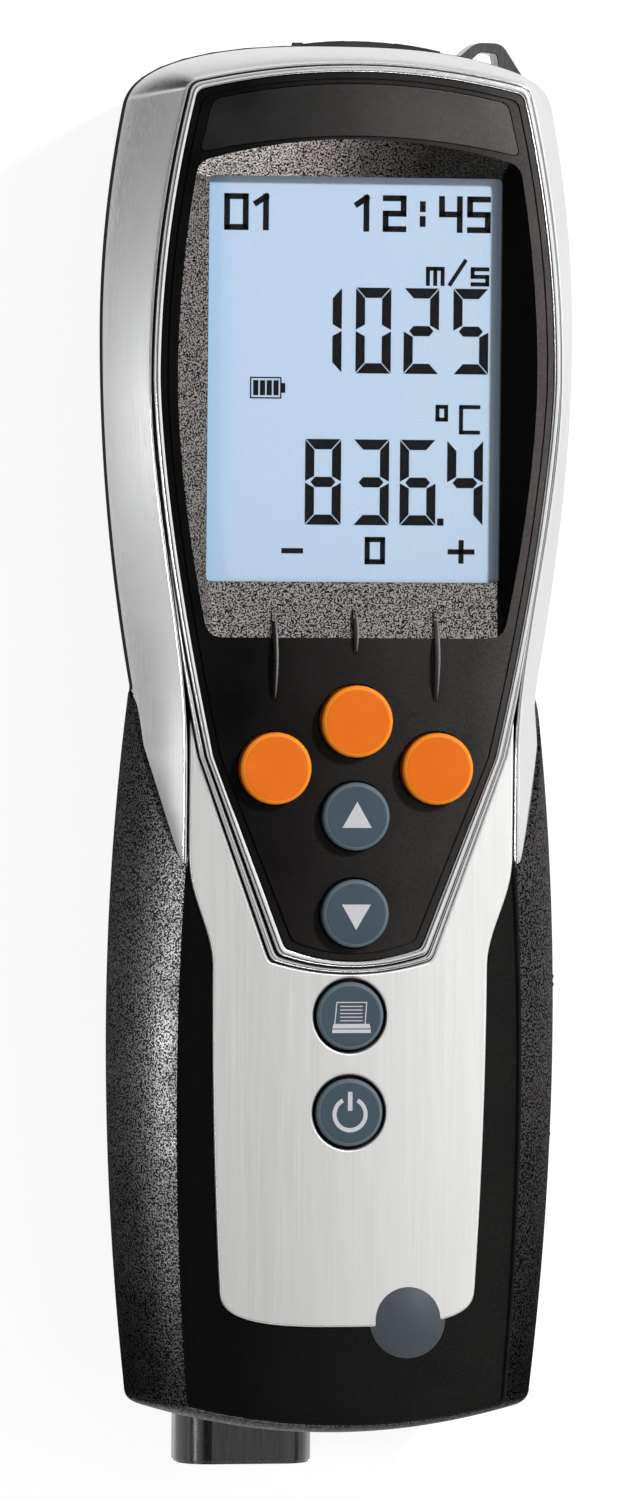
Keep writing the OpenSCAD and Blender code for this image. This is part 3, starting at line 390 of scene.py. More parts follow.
def metal(name, colour, rough):
    k = Look(name, colour, rough, 1.0)
    lines = k.noise(600, 3.0, rough=0.6)
    low = tuple(c * 0.86 for c in colour)
    k.colour(k.ramp(lines, (0.3, low), (0.7, colour)))
    k.rough(k.ramp(lines, (0.3, rough - 0.07), (0.7, rough + 0.08)))
    k.bump(lines, 0.004, 0.5)
    return k.m


def gloss_black(name, colour, rough):
    k = Look(name, colour, rough, Coat_Weight=0.4, Coat_Roughness=0.06)
    wide = k.noise(120, 3.0)
    marks = k.noise(500, 3.0, (4.0, 0.3, 1.0), 0.65)
    k.colour(k.ramp(wide, (0.3, colour), (0.75, tuple(c * 2.2 for c in colour))))
    k.rough(k.ramp(marks, (0.35, rough * 0.7), (0.7, rough * 1.6)))
    k.bump(wide, 0.01, 0.4)
    return k.m


M = {
    "chrome": satin_chrome(),
    "plate": brushed_plate(),
    # Painted light and shade: darker on the left, lighter towards the right, lightest at the right edge.
    "panel": plastic("panel_black", (0.010, 0.0091, 0.0088), (0.017, 0.0155, 0.015), 0.40, gloss=0.06, crown=3,
                     painted_light=(0.15, 1.8, 4.3)),
    # Painted light: the recess slopes that face the lamps get light grey specks, painted glints on the black plastic.
    "slope": speckled("slope_speckle_painted_light", (0.002, 0.0018, 0.0017), (0.17, 0.157, 0.15), 0.42, 4200, 0.05, 0.2),
    # Painted highlight: light specks on the left of the top recess slope, fading out towards the right.
    "brow": speckled("brow_speckle_painted_highlight", (0.004, 0.0036, 0.0034), (0.66, 0.61, 0.58), 0.45, 4600, 0.05, 0.05,
                     painted_light=((0.2, 1.0), (0.36, 0.62), (0.52, 0.14), (0.68, 0.03))),
    # Painted highlight: a light grey strip along the crest of each pointer ridge.
    "crest": plastic("crest_painted_highlight", (0.11, 0.105, 0.10), (0.17, 0.16, 0.155), 0.4, 2200, 0.004),
    # Painted light and shade: darker on the left, lighter towards the right, lightest at the right edge.
    "strip": plastic("strip_black", (0.009, 0.0082, 0.008), (0.015, 0.0137, 0.0133), 0.38, 1800, 0.008,
                     gloss=0.26, crown=3, painted_light=(0.2, 2.5, 6.2)),
    # Painted shade: the flanks darken just above the foot.
    "grip": speckled("grip_rubber", (0.0012, 0.001, 0.001), (0.020, 0.0175, 0.0175), 0.25, 3300, 0.012, 0.36,
                     foot=0.2),
    # Painted light and shade: darker on the left, lighter on the right.
    "margin": plastic("grip_smooth", (0.0016, 0.0015, 0.0015), (0.0028, 0.0027, 0.0026), 0.60, gloss=0.03,
                      painted_light=(0.8, 4.6)),
    # Painted shade: a darker copy of the panel black for the recess wall that faces left.
    "shade": plastic("wall_painted_shade", (0.0010, 0.0009, 0.0009), (0.0018, 0.0016, 0.0016), 0.60, gloss=0.02),
    "rear": plastic("rear_black", (0.008, 0.0077, 0.0074), (0.017, 0.0163, 0.0157), 0.80, 1500, 0.05),
    "orange": key_plastic("key_orange", (0.60, 0.120, 0.006), (0.64, 0.134, 0.009)),
    "slate": key_plastic("key_slate", (0.042, 0.060, 0.078), (0.048, 0.068, 0.087)),
    "icon": plastic("key_icon", (0.42, 0.42, 0.45), (0.47, 0.47, 0.50), 0.5, 2200, 0.004, gloss=0.1),
    # Painted shade at the joints: near black strips darken the gaps round the frame's parts.
    "seam": plastic("seam_painted_shade", (0.004, 0.004, 0.004), (0.007, 0.007, 0.007), 0.7),
    # Painted highlight: lighter copies of the key plastics for the rounded rims.
    "orange_painted_highlight": key_plastic("key_orange_painted_highlight", (0.74, 0.21, 0.012), (0.78, 0.24, 0.018)),
    "slate_painted_highlight": key_plastic("key_slate_painted_highlight", (0.085, 0.11, 0.13), (0.10, 0.13, 0.15)),
    # Painted shade: darker copies of the key plastics for the key sides.
    "orange_painted_shade": key_plastic("key_orange_painted_shade", (0.16, 0.030, 0.003), (0.19, 0.036, 0.004)),
    "slate_painted_shade": key_plastic("key_slate_painted_shade", (0.012, 0.016, 0.020), (0.015, 0.020, 0.025)),
    "ink": plastic("lcd_ink", (0.006, 0.007, 0.009), (0.010, 0.011, 0.013), 0.35, 2200, 0.001, gloss=0.03),
    "lcd": lcd_face(),
    "pane": clear_pane(),
    "badge": key_plastic("badge_dome", (0.052, 0.060, 0.068), (0.060, 0.069, 0.078)),
    "block": gloss_black("block_gloss", (0.003, 0.0029, 0.0028), 0.22),
    "insert": plastic("insert_grey", (0.018, 0.018, 0.019), (0.032, 0.032, 0.034), 0.5),
    "eyelet": gloss_black("eyelet_satin", (0.016, 0.016, 0.017), 0.28),
    "flap": plastic("flap_rubber", (0.010, 0.010, 0.010), (0.018, 0.018, 0.018), 0.6),
    "infrared": gloss_black("infrared_gloss", (0.020, 0.006, 0.009), 0.12),
    "tin": metal("tin_shell", (0.72, 0.72, 0.73), 0.28),
    "magnet": metal("magnet_nickel", (0.70, 0.70, 0.71), 0.22),
    "screw": metal("screw_steel", (0.30, 0.30, 0.31), 0.34),
    "contact": metal("contact_metal", (0.74, 0.73, 0.70), 0.26),
    "cell": gloss_black("cell_wrap", (0.075, 0.09, 0.105), 0.24),
    "holder": plastic("holder_white", (0.70, 0.70, 0.68), (0.76, 0.76, 0.74), 0.5),
    "light": plastic("light_white", (0.84, 0.85, 0.83), (0.88, 0.89, 0.87), 0.4),
    "mat": plastic("mat_grey", (0.25, 0.26, 0.27), (0.30, 0.31, 0.32), 0.6),
    "board": plastic("board_green", (0.012, 0.075, 0.035), (0.020, 0.10, 0.05), 0.35, 800, 0.01),
    "chip": plastic("chip_black", (0.012, 0.012, 0.013), (0.020, 0.020, 0.021), 0.55),
}


# Mesh helpers

FLAT_AREA = 2e-5  # faces larger than this, in square metres, are shaded flat
EDGE_ANGLE = math.radians(30)  # edges sharper than this stay sharp, and are bevelled


def new_piece(name, me, body):
    o = bpy.data.objects.new(name, me)
    scene.collection.objects.link(o)
    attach(o, body)
    return o


def clean(me, weld):
    """Points closer than weld are joined, and faces turned outwards."""
    bm = bmesh.new()
    bm.from_mesh(me)
    bmesh.ops.remove_doubles(bm, verts=bm.verts, dist=weld)
    bmesh.ops.recalc_face_normals(bm, faces=bm.faces)
    bm.to_mesh(me)
    bm.free()


def dressed(node, looks, body="housing", bevel=0.15, segments=2, pick=None):
    """A copy of a CAD node with welded faces, softened edges and its own materials.

    pick chooses the material of a face from its middle in millimetres and its normal.
    """
    bm = bmesh.new()
    bm.from_mesh(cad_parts[node].data)
    bmesh.ops.remove_doubles(bm, verts=bm.verts, dist=2e-6)
    bmesh.ops.dissolve_limit(bm, angle_limit=math.radians(0.5), verts=bm.verts, edges=bm.edges)
    me = bpy.data.meshes.new(node + "_look")
    bm.to_mesh(me)
    bm.free()
    for k in looks:
        me.materials.append(M[k])
    me.shade_smooth()
    me.set_sharp_from_angle(angle=EDGE_ANGLE)
    for p in me.polygons:
        if p.area > FLAT_AREA:
            p.use_smooth = False
        if pick:
            p.material_index = pick(p.center / MM, p.normal)
    o = new_piece(node + "_look", me, body)
    if bevel:
        mod = o.modifiers.new("edges", "BEVEL")
        mod.width = bevel * MM
        mod.segments = segments
        mod.limit_method = "ANGLE"
        mod.angle_limit = EDGE_ANGLE
        mod.harden_normals = True
    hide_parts(node)
    return o


def plain(node, look):
    """A CAD node kept as it is, with a better material."""
    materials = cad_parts[node].data.materials
    materials.clear()
    materials.append(M[look])


# Outlines shared with the CAD source, in millimetres

HEAD_W, CROWN_W, WAIST_W, GRIP_W, FOOT_W = 73.6, 67.2, 63.4, 69.8, 63.2
HEAD_Y, CROWN_Y, WAIST_Y, GRIP_Y, FOOT_Y = 66.0, 99.0, 10.5, -41.0, -97.4
PANEL_W, KEYPAD_W, VEE_W, VEE_END, VEE_SAG = 61.2, 43.8, 21.2, 31.1, 2.0
PANEL_Y, PANEL_CROWN, CROWN_SAG, PLATE_W, BEAD_W = 58.0, 104.4, 3.1, 50.4, 1.1
CORNER_Y, CORNER_X, CORNER_SHARE, PLATE_GAP = 3.6, 5.2, 0.95, 2.1
PLATE_END, PRINT_Y, POWER_Y, PRINT_R, POWER_R = 87.3, -39.6, -54.4, 5.75, 5.75
TIP_Y, TAIL_Y, SHOULDER_Y, SPLIT_Z, BAND_H = 9.5, -16.8, 34.0, 25.0, 8.0
GRIP_END, FOOT_BOW, FOOT_EDGE, FLANK_ARC, JOINT_POWER = 104.6, 0.0051, 2.2, math.radians(72), 1.6
DECK_Z, PLATE_Z, CREASE_Z, SHOULDER_Z, BEAD_Z = 41.0, 41.8, 41.9, 42.6, 43.7


def bow(y, y0, h0, y1, h1, power=2.0):
    """Half a width that runs from h0 at y0 in a bow to h1 at y1."""
    return h0 + (h1 - h0) * abs((y - y0) / (y1 - y0)) ** power


def ease(v):
    """A soft step from 0 to 1 while v does the same."""
    t = min(1.0, max(0.0, v))
    return t * t * (3 - 2 * t)


def panel_half(y):
    if y > PANEL_Y:
        return bow(y, PANEL_Y, PANEL_W / 2, PANEL_CROWN - CORNER_Y, PANEL_W / 2 - CORNER_X)
    if y > 0:
        return bow(y, PANEL_Y, PANEL_W / 2, 0, KEYPAD_W / 2, 1.5)
    return VEE_W / 2 + (KEYPAD_W - VEE_W) / 2 * (y + VEE_END - VEE_SAG) / (VEE_END - VEE_SAG)


def grip_half(y):
    if y > GRIP_Y:
        return bow(y, GRIP_Y, GRIP_W / 2, WAIST_Y, WAIST_W / 2)
    return bow(y, GRIP_Y, GRIP_W / 2, FOOT_Y, FOOT_W / 2)


def head_rear(y):
    if y > HEAD_Y:
        return bow(y, HEAD_Y, HEAD_W / 2, CROWN_Y, CROWN_W / 2)
    if y > WAIST_Y:
        return bow(y, HEAD_Y, HEAD_W / 2, WAIST_Y, WAIST_W / 2)
    return grip_half(y) - min(0.5, (WAIST_Y - y) / 6)


def head_front(y):
    if y > PANEL_Y:
        return panel_half(y) + BEAD_W + 0.1
    wide = PANEL_W / 2 + BEAD_W
    return wide + 0.1 - (wide - PLATE_W / 2 - 0.2) * ease((PANEL_Y - y) / (PANEL_Y + 2))


def cap(half, y1, rise, a):
    """A point of the rounded end over y1, at angle a from the side."""
    y = y1 + rise * math.sin(a) ** 0.8
    return half(y) * max(0.0, math.cos(a)) ** 0.8, y


def curve(p0, p1, p2, n):
    """Quadratic curve from p0 to p2, pulled towards p1, without its first point."""
    t = [i / n for i in range(1, n + 1)]
    return [tuple(p0[k] * (1 - v) ** 2 + p1[k] * 2 * v * (1 - v) + p2[k] * v * v for k in (0, 1)) for v in t]


def crown_cap(h, y, corner=10, bow_steps=32):
    """Right half of the arched top: a small corner at h, y, then a bow up to the middle line."""
    pts = curve((h + 0.2, y - 1), (h, y), (CORNER_SHARE * h, y + CROWN_SAG * (1 - CORNER_SHARE ** 2)), corner)
    for i in range(1, bow_steps + 1):
        t = CORNER_SHARE * (1 - i / bow_steps)
        pts.append((t * h, y + CROWN_SAG * (1 - t * t)))
    return pts


def panel_loop(g):
    """Right half of the panel outline grown by g, from the foot of the V to the crown."""
    y0, h0, y1 = -VEE_END + VEE_SAG - g, VEE_W / 2 + g, PANEL_CROWN - CROWN_SAG + g
    corner, top = Vector((h0, y0)), Vector((panel_half(0) + g, 0))
    vee = corner + (top - corner) * 0.035
    foot = [CORNER_SHARE * i / 12 for i in range(13)]
    pts = [(h0 * t, y0 - VEE_SAG * (1 - t * t)) for t in foot]
    pts += curve(pts[-1], corner, vee, 8)
    pts += [tuple(vee + (top - vee) * i / 12) for i in range(1, 13)]
    pts += [(panel_half((y1 - 1) * i / 60) + g, (y1 - 1) * i / 60) for i in range(1, 61)]
    return pts + crown_cap(panel_half(y1) + g, y1)


def mirrored(right):
    """A closed loop from its right half, which starts and ends on the middle line."""
    return right + [(-x, *r) for x, *r in right[-2:0:-1]]


def loft(name, loops, look, closed=True, sharp=40):
    """A skin on the housing over loops of equal length, points in millimetres."""
    n = len(loops[0])
    verts = [Vector(p) * MM for loop in loops for p in loop]
    faces = []
    for j in range(len(loops) - 1):
        for i in range(n if closed else n - 1):
            k = (i + 1) % n
            faces.append((j * n + i, j * n + k, (j + 1) * n + k, (j + 1) * n + i))
    me = bpy.data.meshes.new(name)
    me.from_pydata(verts, [], faces)
    me.materials.append(M[look])
    clean(me, 1e-7)
    me.shade_smooth()
    me.set_sharp_from_angle(angle=math.radians(sharp))
    return new_piece(name, me, "housing")


def prisms(name, shapes, z0, z1, look, body="housing"):
    """Flat shapes, each a list of (x, y), raised from z0 to z1."""
    verts, faces = [], []
    for pts in shapes:
        n, o = len(pts), len(verts)
        area = sum(pts[i][0] * pts[(i + 1) % n][1] - pts[(i + 1) % n][0] * pts[i][1] for i in range(n))
        if area < 0:
            pts = pts[::-1]
        verts += [Vector((x, y, z)) * MM for z in (z0, z1) for x, y in pts]
        top = tessellate_polygon([[Vector((x, y, 0)) for x, y in pts]])
        for t in top:
            a, b, c = (Vector((*pts[i], 0)) for i in t)
            t = t if (b - a).cross(c - a).z > 0 else t[::-1]
            faces.append([o + n + i for i in t])
        faces += [(o + i, o + (i + 1) % n, o + n + (i + 1) % n, o + n + i) for i in range(n)]
    me = bpy.data.meshes.new(name)
    me.from_pydata(verts, [], faces)
    me.materials.append(M[look])
    return new_piece(name, me, body)


# Bright frame

BAND_T, ROUND_T, RIM_T = 0.2, 0.42, 0.88  # where steep band, slope and round end, along the section
TILT = (  # shading tilt from upright along the section, in degrees, so that the flank reads as one soft round
    (0, 50.2), (0.10, 49.3), (0.20, 48.3), (0.50, 46), (0.74, 42.8), (0.81, 40), (0.85, 18), (0.88, 6), (1, -60))
# The dark line along the rear edge is the joint, darkened as painted shade.
SEAM_H = 1.3  # height of the dark line along the rear edge
# Sections of bead, lip and seam: how far outside the panel, and height
BEAD = (
    (0.98, DECK_Z), (0.98, 43.30), (0.95, 43.50), (0.88, 43.62), (0.76, 43.68), (0.5, BEAD_Z), (0.24, 43.68),
    (0.12, 43.62), (0.05, 43.50), (0.02, 43.30), (0.02, 42.8))
LIP = (
    (1.90, DECK_Z), (1.90, 42.2), (1.86, 42.40), (1.76, 42.53), (1.62, 42.58), (1.42, 42.58), (1.28, 42.5),
    (1.22, 42.3), (1.20, 41.9))
SEAM = ((1.45, 41.6), (1.2, 41.72), (0.9, 41.72))


def shoulder_top(y):
    """Height of the shoulder, which sinks to the plate towards the tail."""
    return SHOULDER_Z - (SHOULDER_Z - PLATE_Z) * min(1.0, max(0.0, (SHOULDER_Y - y) / (SHOULDER_Y - 2)))


def lowered(z, y):
    """Height z of the frame section after the shoulder sinks towards the tail."""
    return z - (SHOULDER_Z - shoulder_top(y)) * ease((z - SPLIT_Z - BAND_H) / (SHOULDER_Z - SPLIT_Z - BAND_H - 1))


def frame_profile(t):
    """Share of the way inwards and height, for t from the rear edge over the shoulder into the seam."""
    low, pull, rim = (0.55, SHOULDER_Z - 4.4), (0.84, SHOULDER_Z - 0.1), (0.94, SHOULDER_Z)
    band_z = SPLIT_Z + BAND_H
    if t < BAND_T:
        return t, SPLIT_Z + BAND_H * t / BAND_T
    if t < ROUND_T:
        v = (t - BAND_T) / (ROUND_T - BAND_T)
        return BAND_T + (low[0] - BAND_T) * v, band_z + (low[1] - band_z) * v
    if t < RIM_T:
        v = (t - ROUND_T) / (RIM_T - ROUND_T)
        return tuple(low[i] * (1 - v) ** 2 + pull[i] * 2 * v * (1 - v) + rim[i] * v * v for i in (0, 1))
    v = (t - RIM_T) / (1 - RIM_T)
    return rim[0] + (1 - rim[0]) * v ** 0.7, SHOULDER_Z - 0.9 * v ** 1.6


def frame_columns(tail_steps=36, side_steps=72):
    """Rear and front end of each section, from the right tail up the side to the top of the head."""
    cols = []
    start = TAIL_Y + 0.05
    for i in range(tail_steps):
        y = start + (WAIST_Y - start) * i / tail_steps
        cols.append(((head_rear(y), y), (head_front(y), y)))
    front_y = PANEL_CROWN + BEAD_W + 0.1 - CROWN_SAG
    for i in range(side_steps + 1):
        yr, yf = (WAIST_Y + (v - WAIST_Y) * i / side_steps for v in (CROWN_Y, front_y - 1))
        cols.append(((head_rear(yr), yr), (head_front(yf), yf)))
    top = crown_cap(head_front(front_y), front_y, 18, 30)
    for i, front in enumerate(top, 1):
        cols.append((cap(head_rear, CROWN_Y, 10, math.pi / 2 * i / len(top)), front))
    return cols


def tilt_at(t):
    for (t0, a0), (t1, a1) in zip(TILT, TILT[1:]):
        if t <= t1:
            return math.radians(a0 + (a1 - a0) * (t - t0) / (t1 - t0))
    return math.radians(TILT[-1][1])


def frame_grid(rows=50):
    """Columns of points from the rear edge inwards, and the shading tilt at each point."""
    loops, tilts = [], []
    for (rx, ry), (fx, fy) in frame_columns():
        low = SPLIT_Z + (CREASE_Z - SPLIT_Z) * max(0.0, (ry - TIP_Y) / (TAIL_Y - TIP_Y)) ** (1 / JOINT_POWER)
        t0 = 0.0
        while t0 < 0.93 and lowered(frame_profile(t0)[1], ry) < low - 1e-6:
            t0 += 0.002
        col = []
        for j in range(rows + 1):
            share, z = frame_profile(t0 + (1 - t0) * j / rows)
            x, y = rx + (fx - rx) * share, ry + (fy - ry) * share
            col.append((x, y, lowered(z, y)))
        loops.append(col)
        tilts.append([tilt_at(t0 + (1 - t0) * j / rows) for j in range(rows + 1)])
    return loops + [[(-x, y, z) for x, y, z in col] for col in loops[-2::-1]], tilts + tilts[-2::-1]


def lean_normals(piece, columns, tilts, reach):
    """Shading normals that stand outwards across the columns and lean from upright by the given angles.

    reach tells for each column how many columns to either side its direction is taken from.
    """
    lean, near = [], KDTree(len(columns) * len(columns[0]))
    for i, col in enumerate(columns):
        k = reach(i)
        before, after = columns[max(i - k, 0)], columns[min(i + k, len(columns) - 1)]
        for j, p in enumerate(col):
            along = Vector((after[j][0] - before[j][0], after[j][1] - before[j][1]))
            out = Vector((along.y, -along.x, 0)).normalized()
            a = tilts[i][j]
            near.insert(Vector(p) * MM, len(lean))
            lean.append(out * math.sin(a) + Vector((0, 0, math.cos(a))))
    near.balance()
    piece.data.normals_split_custom_set_from_vertices([lean[near.find(v.co)[1]] for v in piece.data.vertices])


def frame_side():
    columns, tilts = frame_grid()
    piece = loft("frame_side", columns, "chrome", closed=False, sharp=180)
    side_columns = 95
    lean_normals(piece, columns, tilts, lambda i: 10 if min(i, len(columns) - 1 - i) < side_columns else 2)
    piece.data.materials.append(M["seam"])
    # Painted shade: the frame's lowest band is coloured dark at the joint to the rear housing.
    for p in piece.data.polygons:
        p.material_index = 1 if p.center.z < (SPLIT_Z + SEAM_H) * MM else 0
    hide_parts("front_frame")


def ring_loops(profile):
    """Closed loops round the panel for a section."""
    return [mirrored([(x, y, z) for x, y in panel_loop(g)]) for g, z in profile]


def lip_loops():
    """Open loops from beside the display down round the V, where the step outside the bead runs."""
    loops = []
    for g, z in LIP:
        right = [(x - (g - BEAD_W) * ease(y / SHOULDER_Y), y, z) for x, y in panel_loop(g) if y < SHOULDER_Y - 1]
        loops.append([(-x, y, w) for x, y, w in right[:0:-1]] + right)
    return loops


frame_side()
loft("frame_bead", ring_loops(BEAD), "chrome")
loft("frame_lip", lip_loops(), "chrome", closed=False)
# Painted shade: a dark strip in the groove between shoulder and bead.
loft("frame_seam", ring_loops(SEAM), "seam")


# Black panel and display

def recess_side(c, n):
    """Which material a face of the panel has: the slopes of the display recess get painted light and shade by the way
    they face, lit specks on the left wall and the bottom, a painted highlight on the top slope and painted shade on
    the right wall.
    """
    inside = abs(c.x) < 30 and 17 < c.y < 95 and 40.95 < c.z < 43.45
    if not (inside and 0.05 < n.z < 0.985):
        return 0
    return 3 if n.x < -0.2 else 2 if n.y < -0.2 else 1


dressed("display_panel", ["panel", "slope", "brow", "shade"], bevel=0.12, pick=recess_side)
dressed("name_strip", ["strip"], bevel=0.1)


def crest(name, x, a, b, c, steps=40):
    """Painted highlight along the crest of a pointer ridge, along the arc through the points (y, z) a, b and c."""
    d = 2 * (a[0] * (b[1] - c[1]) + b[0] * (c[1] - a[1]) + c[0] * (a[1] - b[1]))
    qa, qb, qc = (v[0] ** 2 + v[1] ** 2 for v in (a, b, c))
    y0 = (qa * (b[1] - c[1]) + qb * (c[1] - a[1]) + qc * (a[1] - b[1])) / d
    z0 = (qa * (c[0] - b[0]) + qb * (a[0] - c[0]) + qc * (b[0] - a[0])) / d
    r = math.hypot(a[0] - y0, a[1] - z0)
    start, length = a[0] + 0.6, c[0] - a[0] - 1.0
    section = ((-1, -0.02), (-0.5, 0.025), (0, 0.04), (0.5, 0.025), (1, -0.02))
    loops = []
    for i in range(steps + 1):
        swell = math.sin(math.pi * i / steps)
        y = start + length * i / steps
        z = z0 + math.sqrt(r * r - (y - y0) ** 2)
        half, mid = 0.17 * max(0.0, swell) ** 0.5 + 0.005, x + 0.10 + 0.10 * swell
        loops.append([(mid + half * u, y, z + rise) for u, rise in section])
    loft(name, loops, "crest", closed=False, sharp=60)


crest("pointer_left_crest", -12.6, (8.2, 43.4), (18.2, 44.2), (23.2, 41.87))
crest("pointer_middle_crest", 0, (15.4, 43.4), (18.2, 44.1), (23.2, 41.87))
crest("pointer_right_crest", 12.6, (8.2, 43.4), (18.2, 44.2), (23.2, 41.87))
plain("display_window", "pane")
plain("lcd_glass", "lcd")
plain("lcd_holder", "holder")
plain("backlight", "light")

# Segments of each figure: a at the top, then clockwise to f, and g across the middle
SEGMENTS = {
    "0": "abcdef", "1": "bc", "2": "abged", "3": "abgcd", "4": "fgbc", "5": "afgcd", "6": "afgedc", "8": "abcdefg"}
# Pen lines of each sign, as points named by height (see UP) and side (see ACROSS)
STROKES = {
    "0": ("bl br tr tl bl", ), "1": ("ul tc bc", ), "2": ("tl tr mr ml bl br", ), "4": ("tl ml mr", "tr br"),
    "5": ("tr tl ml mr br bl", ), ":": ("pc qc", "rc sc"), "m": ("bl xl xc bc", "xc xr br"), "/": ("bl tr", ),
    "s": ("xr xl yl yr br bl", ), "o": ("ml tl tc mc ml", ), "C": ("tr tl bl br", ), "+": ("pc sc", "ml mr"),
    "-": ("ml mr", ),
}
ACROSS = {"l": 0.0, "c": 0.5, "r": 1.0}
UP = {"b": 0.0, "y": 0.33, "m": 0.5, "x": 0.66, "t": 1.0, "u": 0.8, "p": 0.82, "q": 0.66, "r": 0.34, "s": 0.18}
FIGURES = (  # figures, left edges, foot and width
    ("1025", (-7.2, 0.5, 8.0, 15.75), 58.6, 5.5),
    ("8364", (-7.2, 0.3, 7.6, 15.0), 35.4, 5.6),
)
FIGURE_H = 13.1
SIGNS = (  # signs, left edge, foot, width, height, pen and space between
    ("01", -19.7, 80.7, 2.9, 4.7, 0.9, 1.7),
    ("12:45", 0.6, 80.7, 2.8, 4.7, 0.9, 1.6),
    ("m/s", 11.7, 72.4, 2.3, 3.5, 0.62, 1.2),
    ("oC", 13.4, 49.7, 2.7, 3.9, 0.62, 1.0),
    ("-", -10.4, 29.4, 2.6, 4.0, 0.8, 1),
    ("0", 2.6, 29.8, 2.4, 3.4, 0.8, 1),
    ("+", 15.6, 29.2, 3.4, 4.4, 0.8, 1),
)
BARS = (  # corners of the decimal point, then of the battery mark's outline and knob
    (13.5, 35.4, 14.5, 36.5), (-15.9, 57.7, -11.0, 57.9), (-15.9, 54.6, -11.0, 54.8), (-15.9, 54.8, -15.7, 57.7),
    (-11.2, 54.8, -11.0, 57.7), (-11.0, 55.5, -10.4, 57.0))


def digit(ch, x, y, w, h, tx=1.42, ty=1.56, gap=0.11):
    """Seven-segment figure with mitred ends, lower left corner at x, y."""
    m, k = h / 2, tx * 0.6
    seg = {
        "a": [(gap, h), (w - gap, h), (w - tx - gap, h - ty), (tx + gap, h - ty)],
        "b": [(w, h - gap), (w, m + gap), (w - tx, m + ty / 2 + gap), (w - tx, h - ty - gap)],
        "c": [(w, m - gap), (w, gap), (w - tx, ty + gap), (w - tx, m - ty / 2 - gap)],
        "d": [(gap, 0), (tx + gap, ty), (w - tx - gap, ty), (w - gap, 0)],
        "e": [(0, gap), (0, m - gap), (tx, m - ty / 2 - gap), (tx, ty + gap)],
        "f": [(0, m + gap), (0, h - gap), (tx, h - ty - gap), (tx, m + ty / 2 + gap)],
        "g": [(k, m), (tx + gap, m + ty / 2), (w - tx - gap, m + ty / 2), (w - k, m), (w - tx - gap, m - ty / 2),
              (tx + gap, m - ty / 2)],
    }
    return [[(x + u, y + v) for u, v in seg[s]] for s in SEGMENTS[ch]]


def strokes(word, x, y, w, h, pen, space):
    """Plain stroke lettering made of straight pen lines."""
    out = []
    for i, ch in enumerate(word):
        for line in STROKES[ch]:
            pts = [Vector((x + i * (w + space) + ACROSS[k[1]] * w, y + UP[k[0]] * h)) for k in line.split()]
            for a, b in zip(pts, pts[1:]):
                d = (b - a).normalized() * pen / 2
                n = Vector((-d.y, d.x))
                out.append([tuple(v) for v in (a - d - n, b + d - n, b + d + n, a - d + n)])
    return out


def bar(x0, y0, x1, y1):
    return [(x0, y0), (x1, y0), (x1, y1), (x0, y1)]


def display_ink():
    ink = [shape for sign in SIGNS for shape in strokes(*sign)]
    for figures, lefts, foot, width in FIGURES:
        for ch, x in zip(figures, lefts):
            ink += digit(ch, x, foot, width, FIGURE_H)
    cells = [(-15.4 + 1.05 * i, 55.1, -14.6 + 1.05 * i, 57.4) for i in range(4)]
    return ink + [bar(*corners) for corners in (*BARS, *cells)]


prisms("display_ink", display_ink(), 38.80, 38.84, "ink")


# Keypad plate

def plate_half(y):
    """Half the plate's width: narrow down the grip, and wider above a bend beside the foot of the V."""
    narrow, bend = 21.4, -32
    return narrow - 1.5 * (max(0.0, bend - y) / 50) ** 2 + (PLATE_W / 2 - narrow) * ease((y - bend) / 16)


def plate_loop(e):
    """Right half of the plate outline, drawn in by e: from the foot up to the tip, then down the V."""
    foot_h, power, tip = 6, 0.66, 8.0
    y0 = -PLATE_END + foot_h
    pts = []
    for i in range(31):
        a = math.pi / 2 * (1 - i / 30)
        y = y0 - (foot_h - e) * math.sin(a) ** power
        pts.append(((plate_half(y) - e) * math.cos(a) ** power if i else 0.0, y))
    while panel_half(tip) + PLATE_GAP + e > plate_half(tip) - e and tip > 0:
        tip -= 0.02
    for i in range(1, 71):
        y = y0 + (tip - y0) * i / 70
        pts.append((plate_half(y) - e, y))
    vee = [q for q in panel_loop(PLATE_GAP + e) if q[1] < tip - 0.4]
    return pts + vee[::-1]


def hole(cy, r, n=72):
    return [(r * math.cos(2 * math.pi * i / n), cy + r * math.sin(2 * math.pi * i / n)) for i in range(n)]


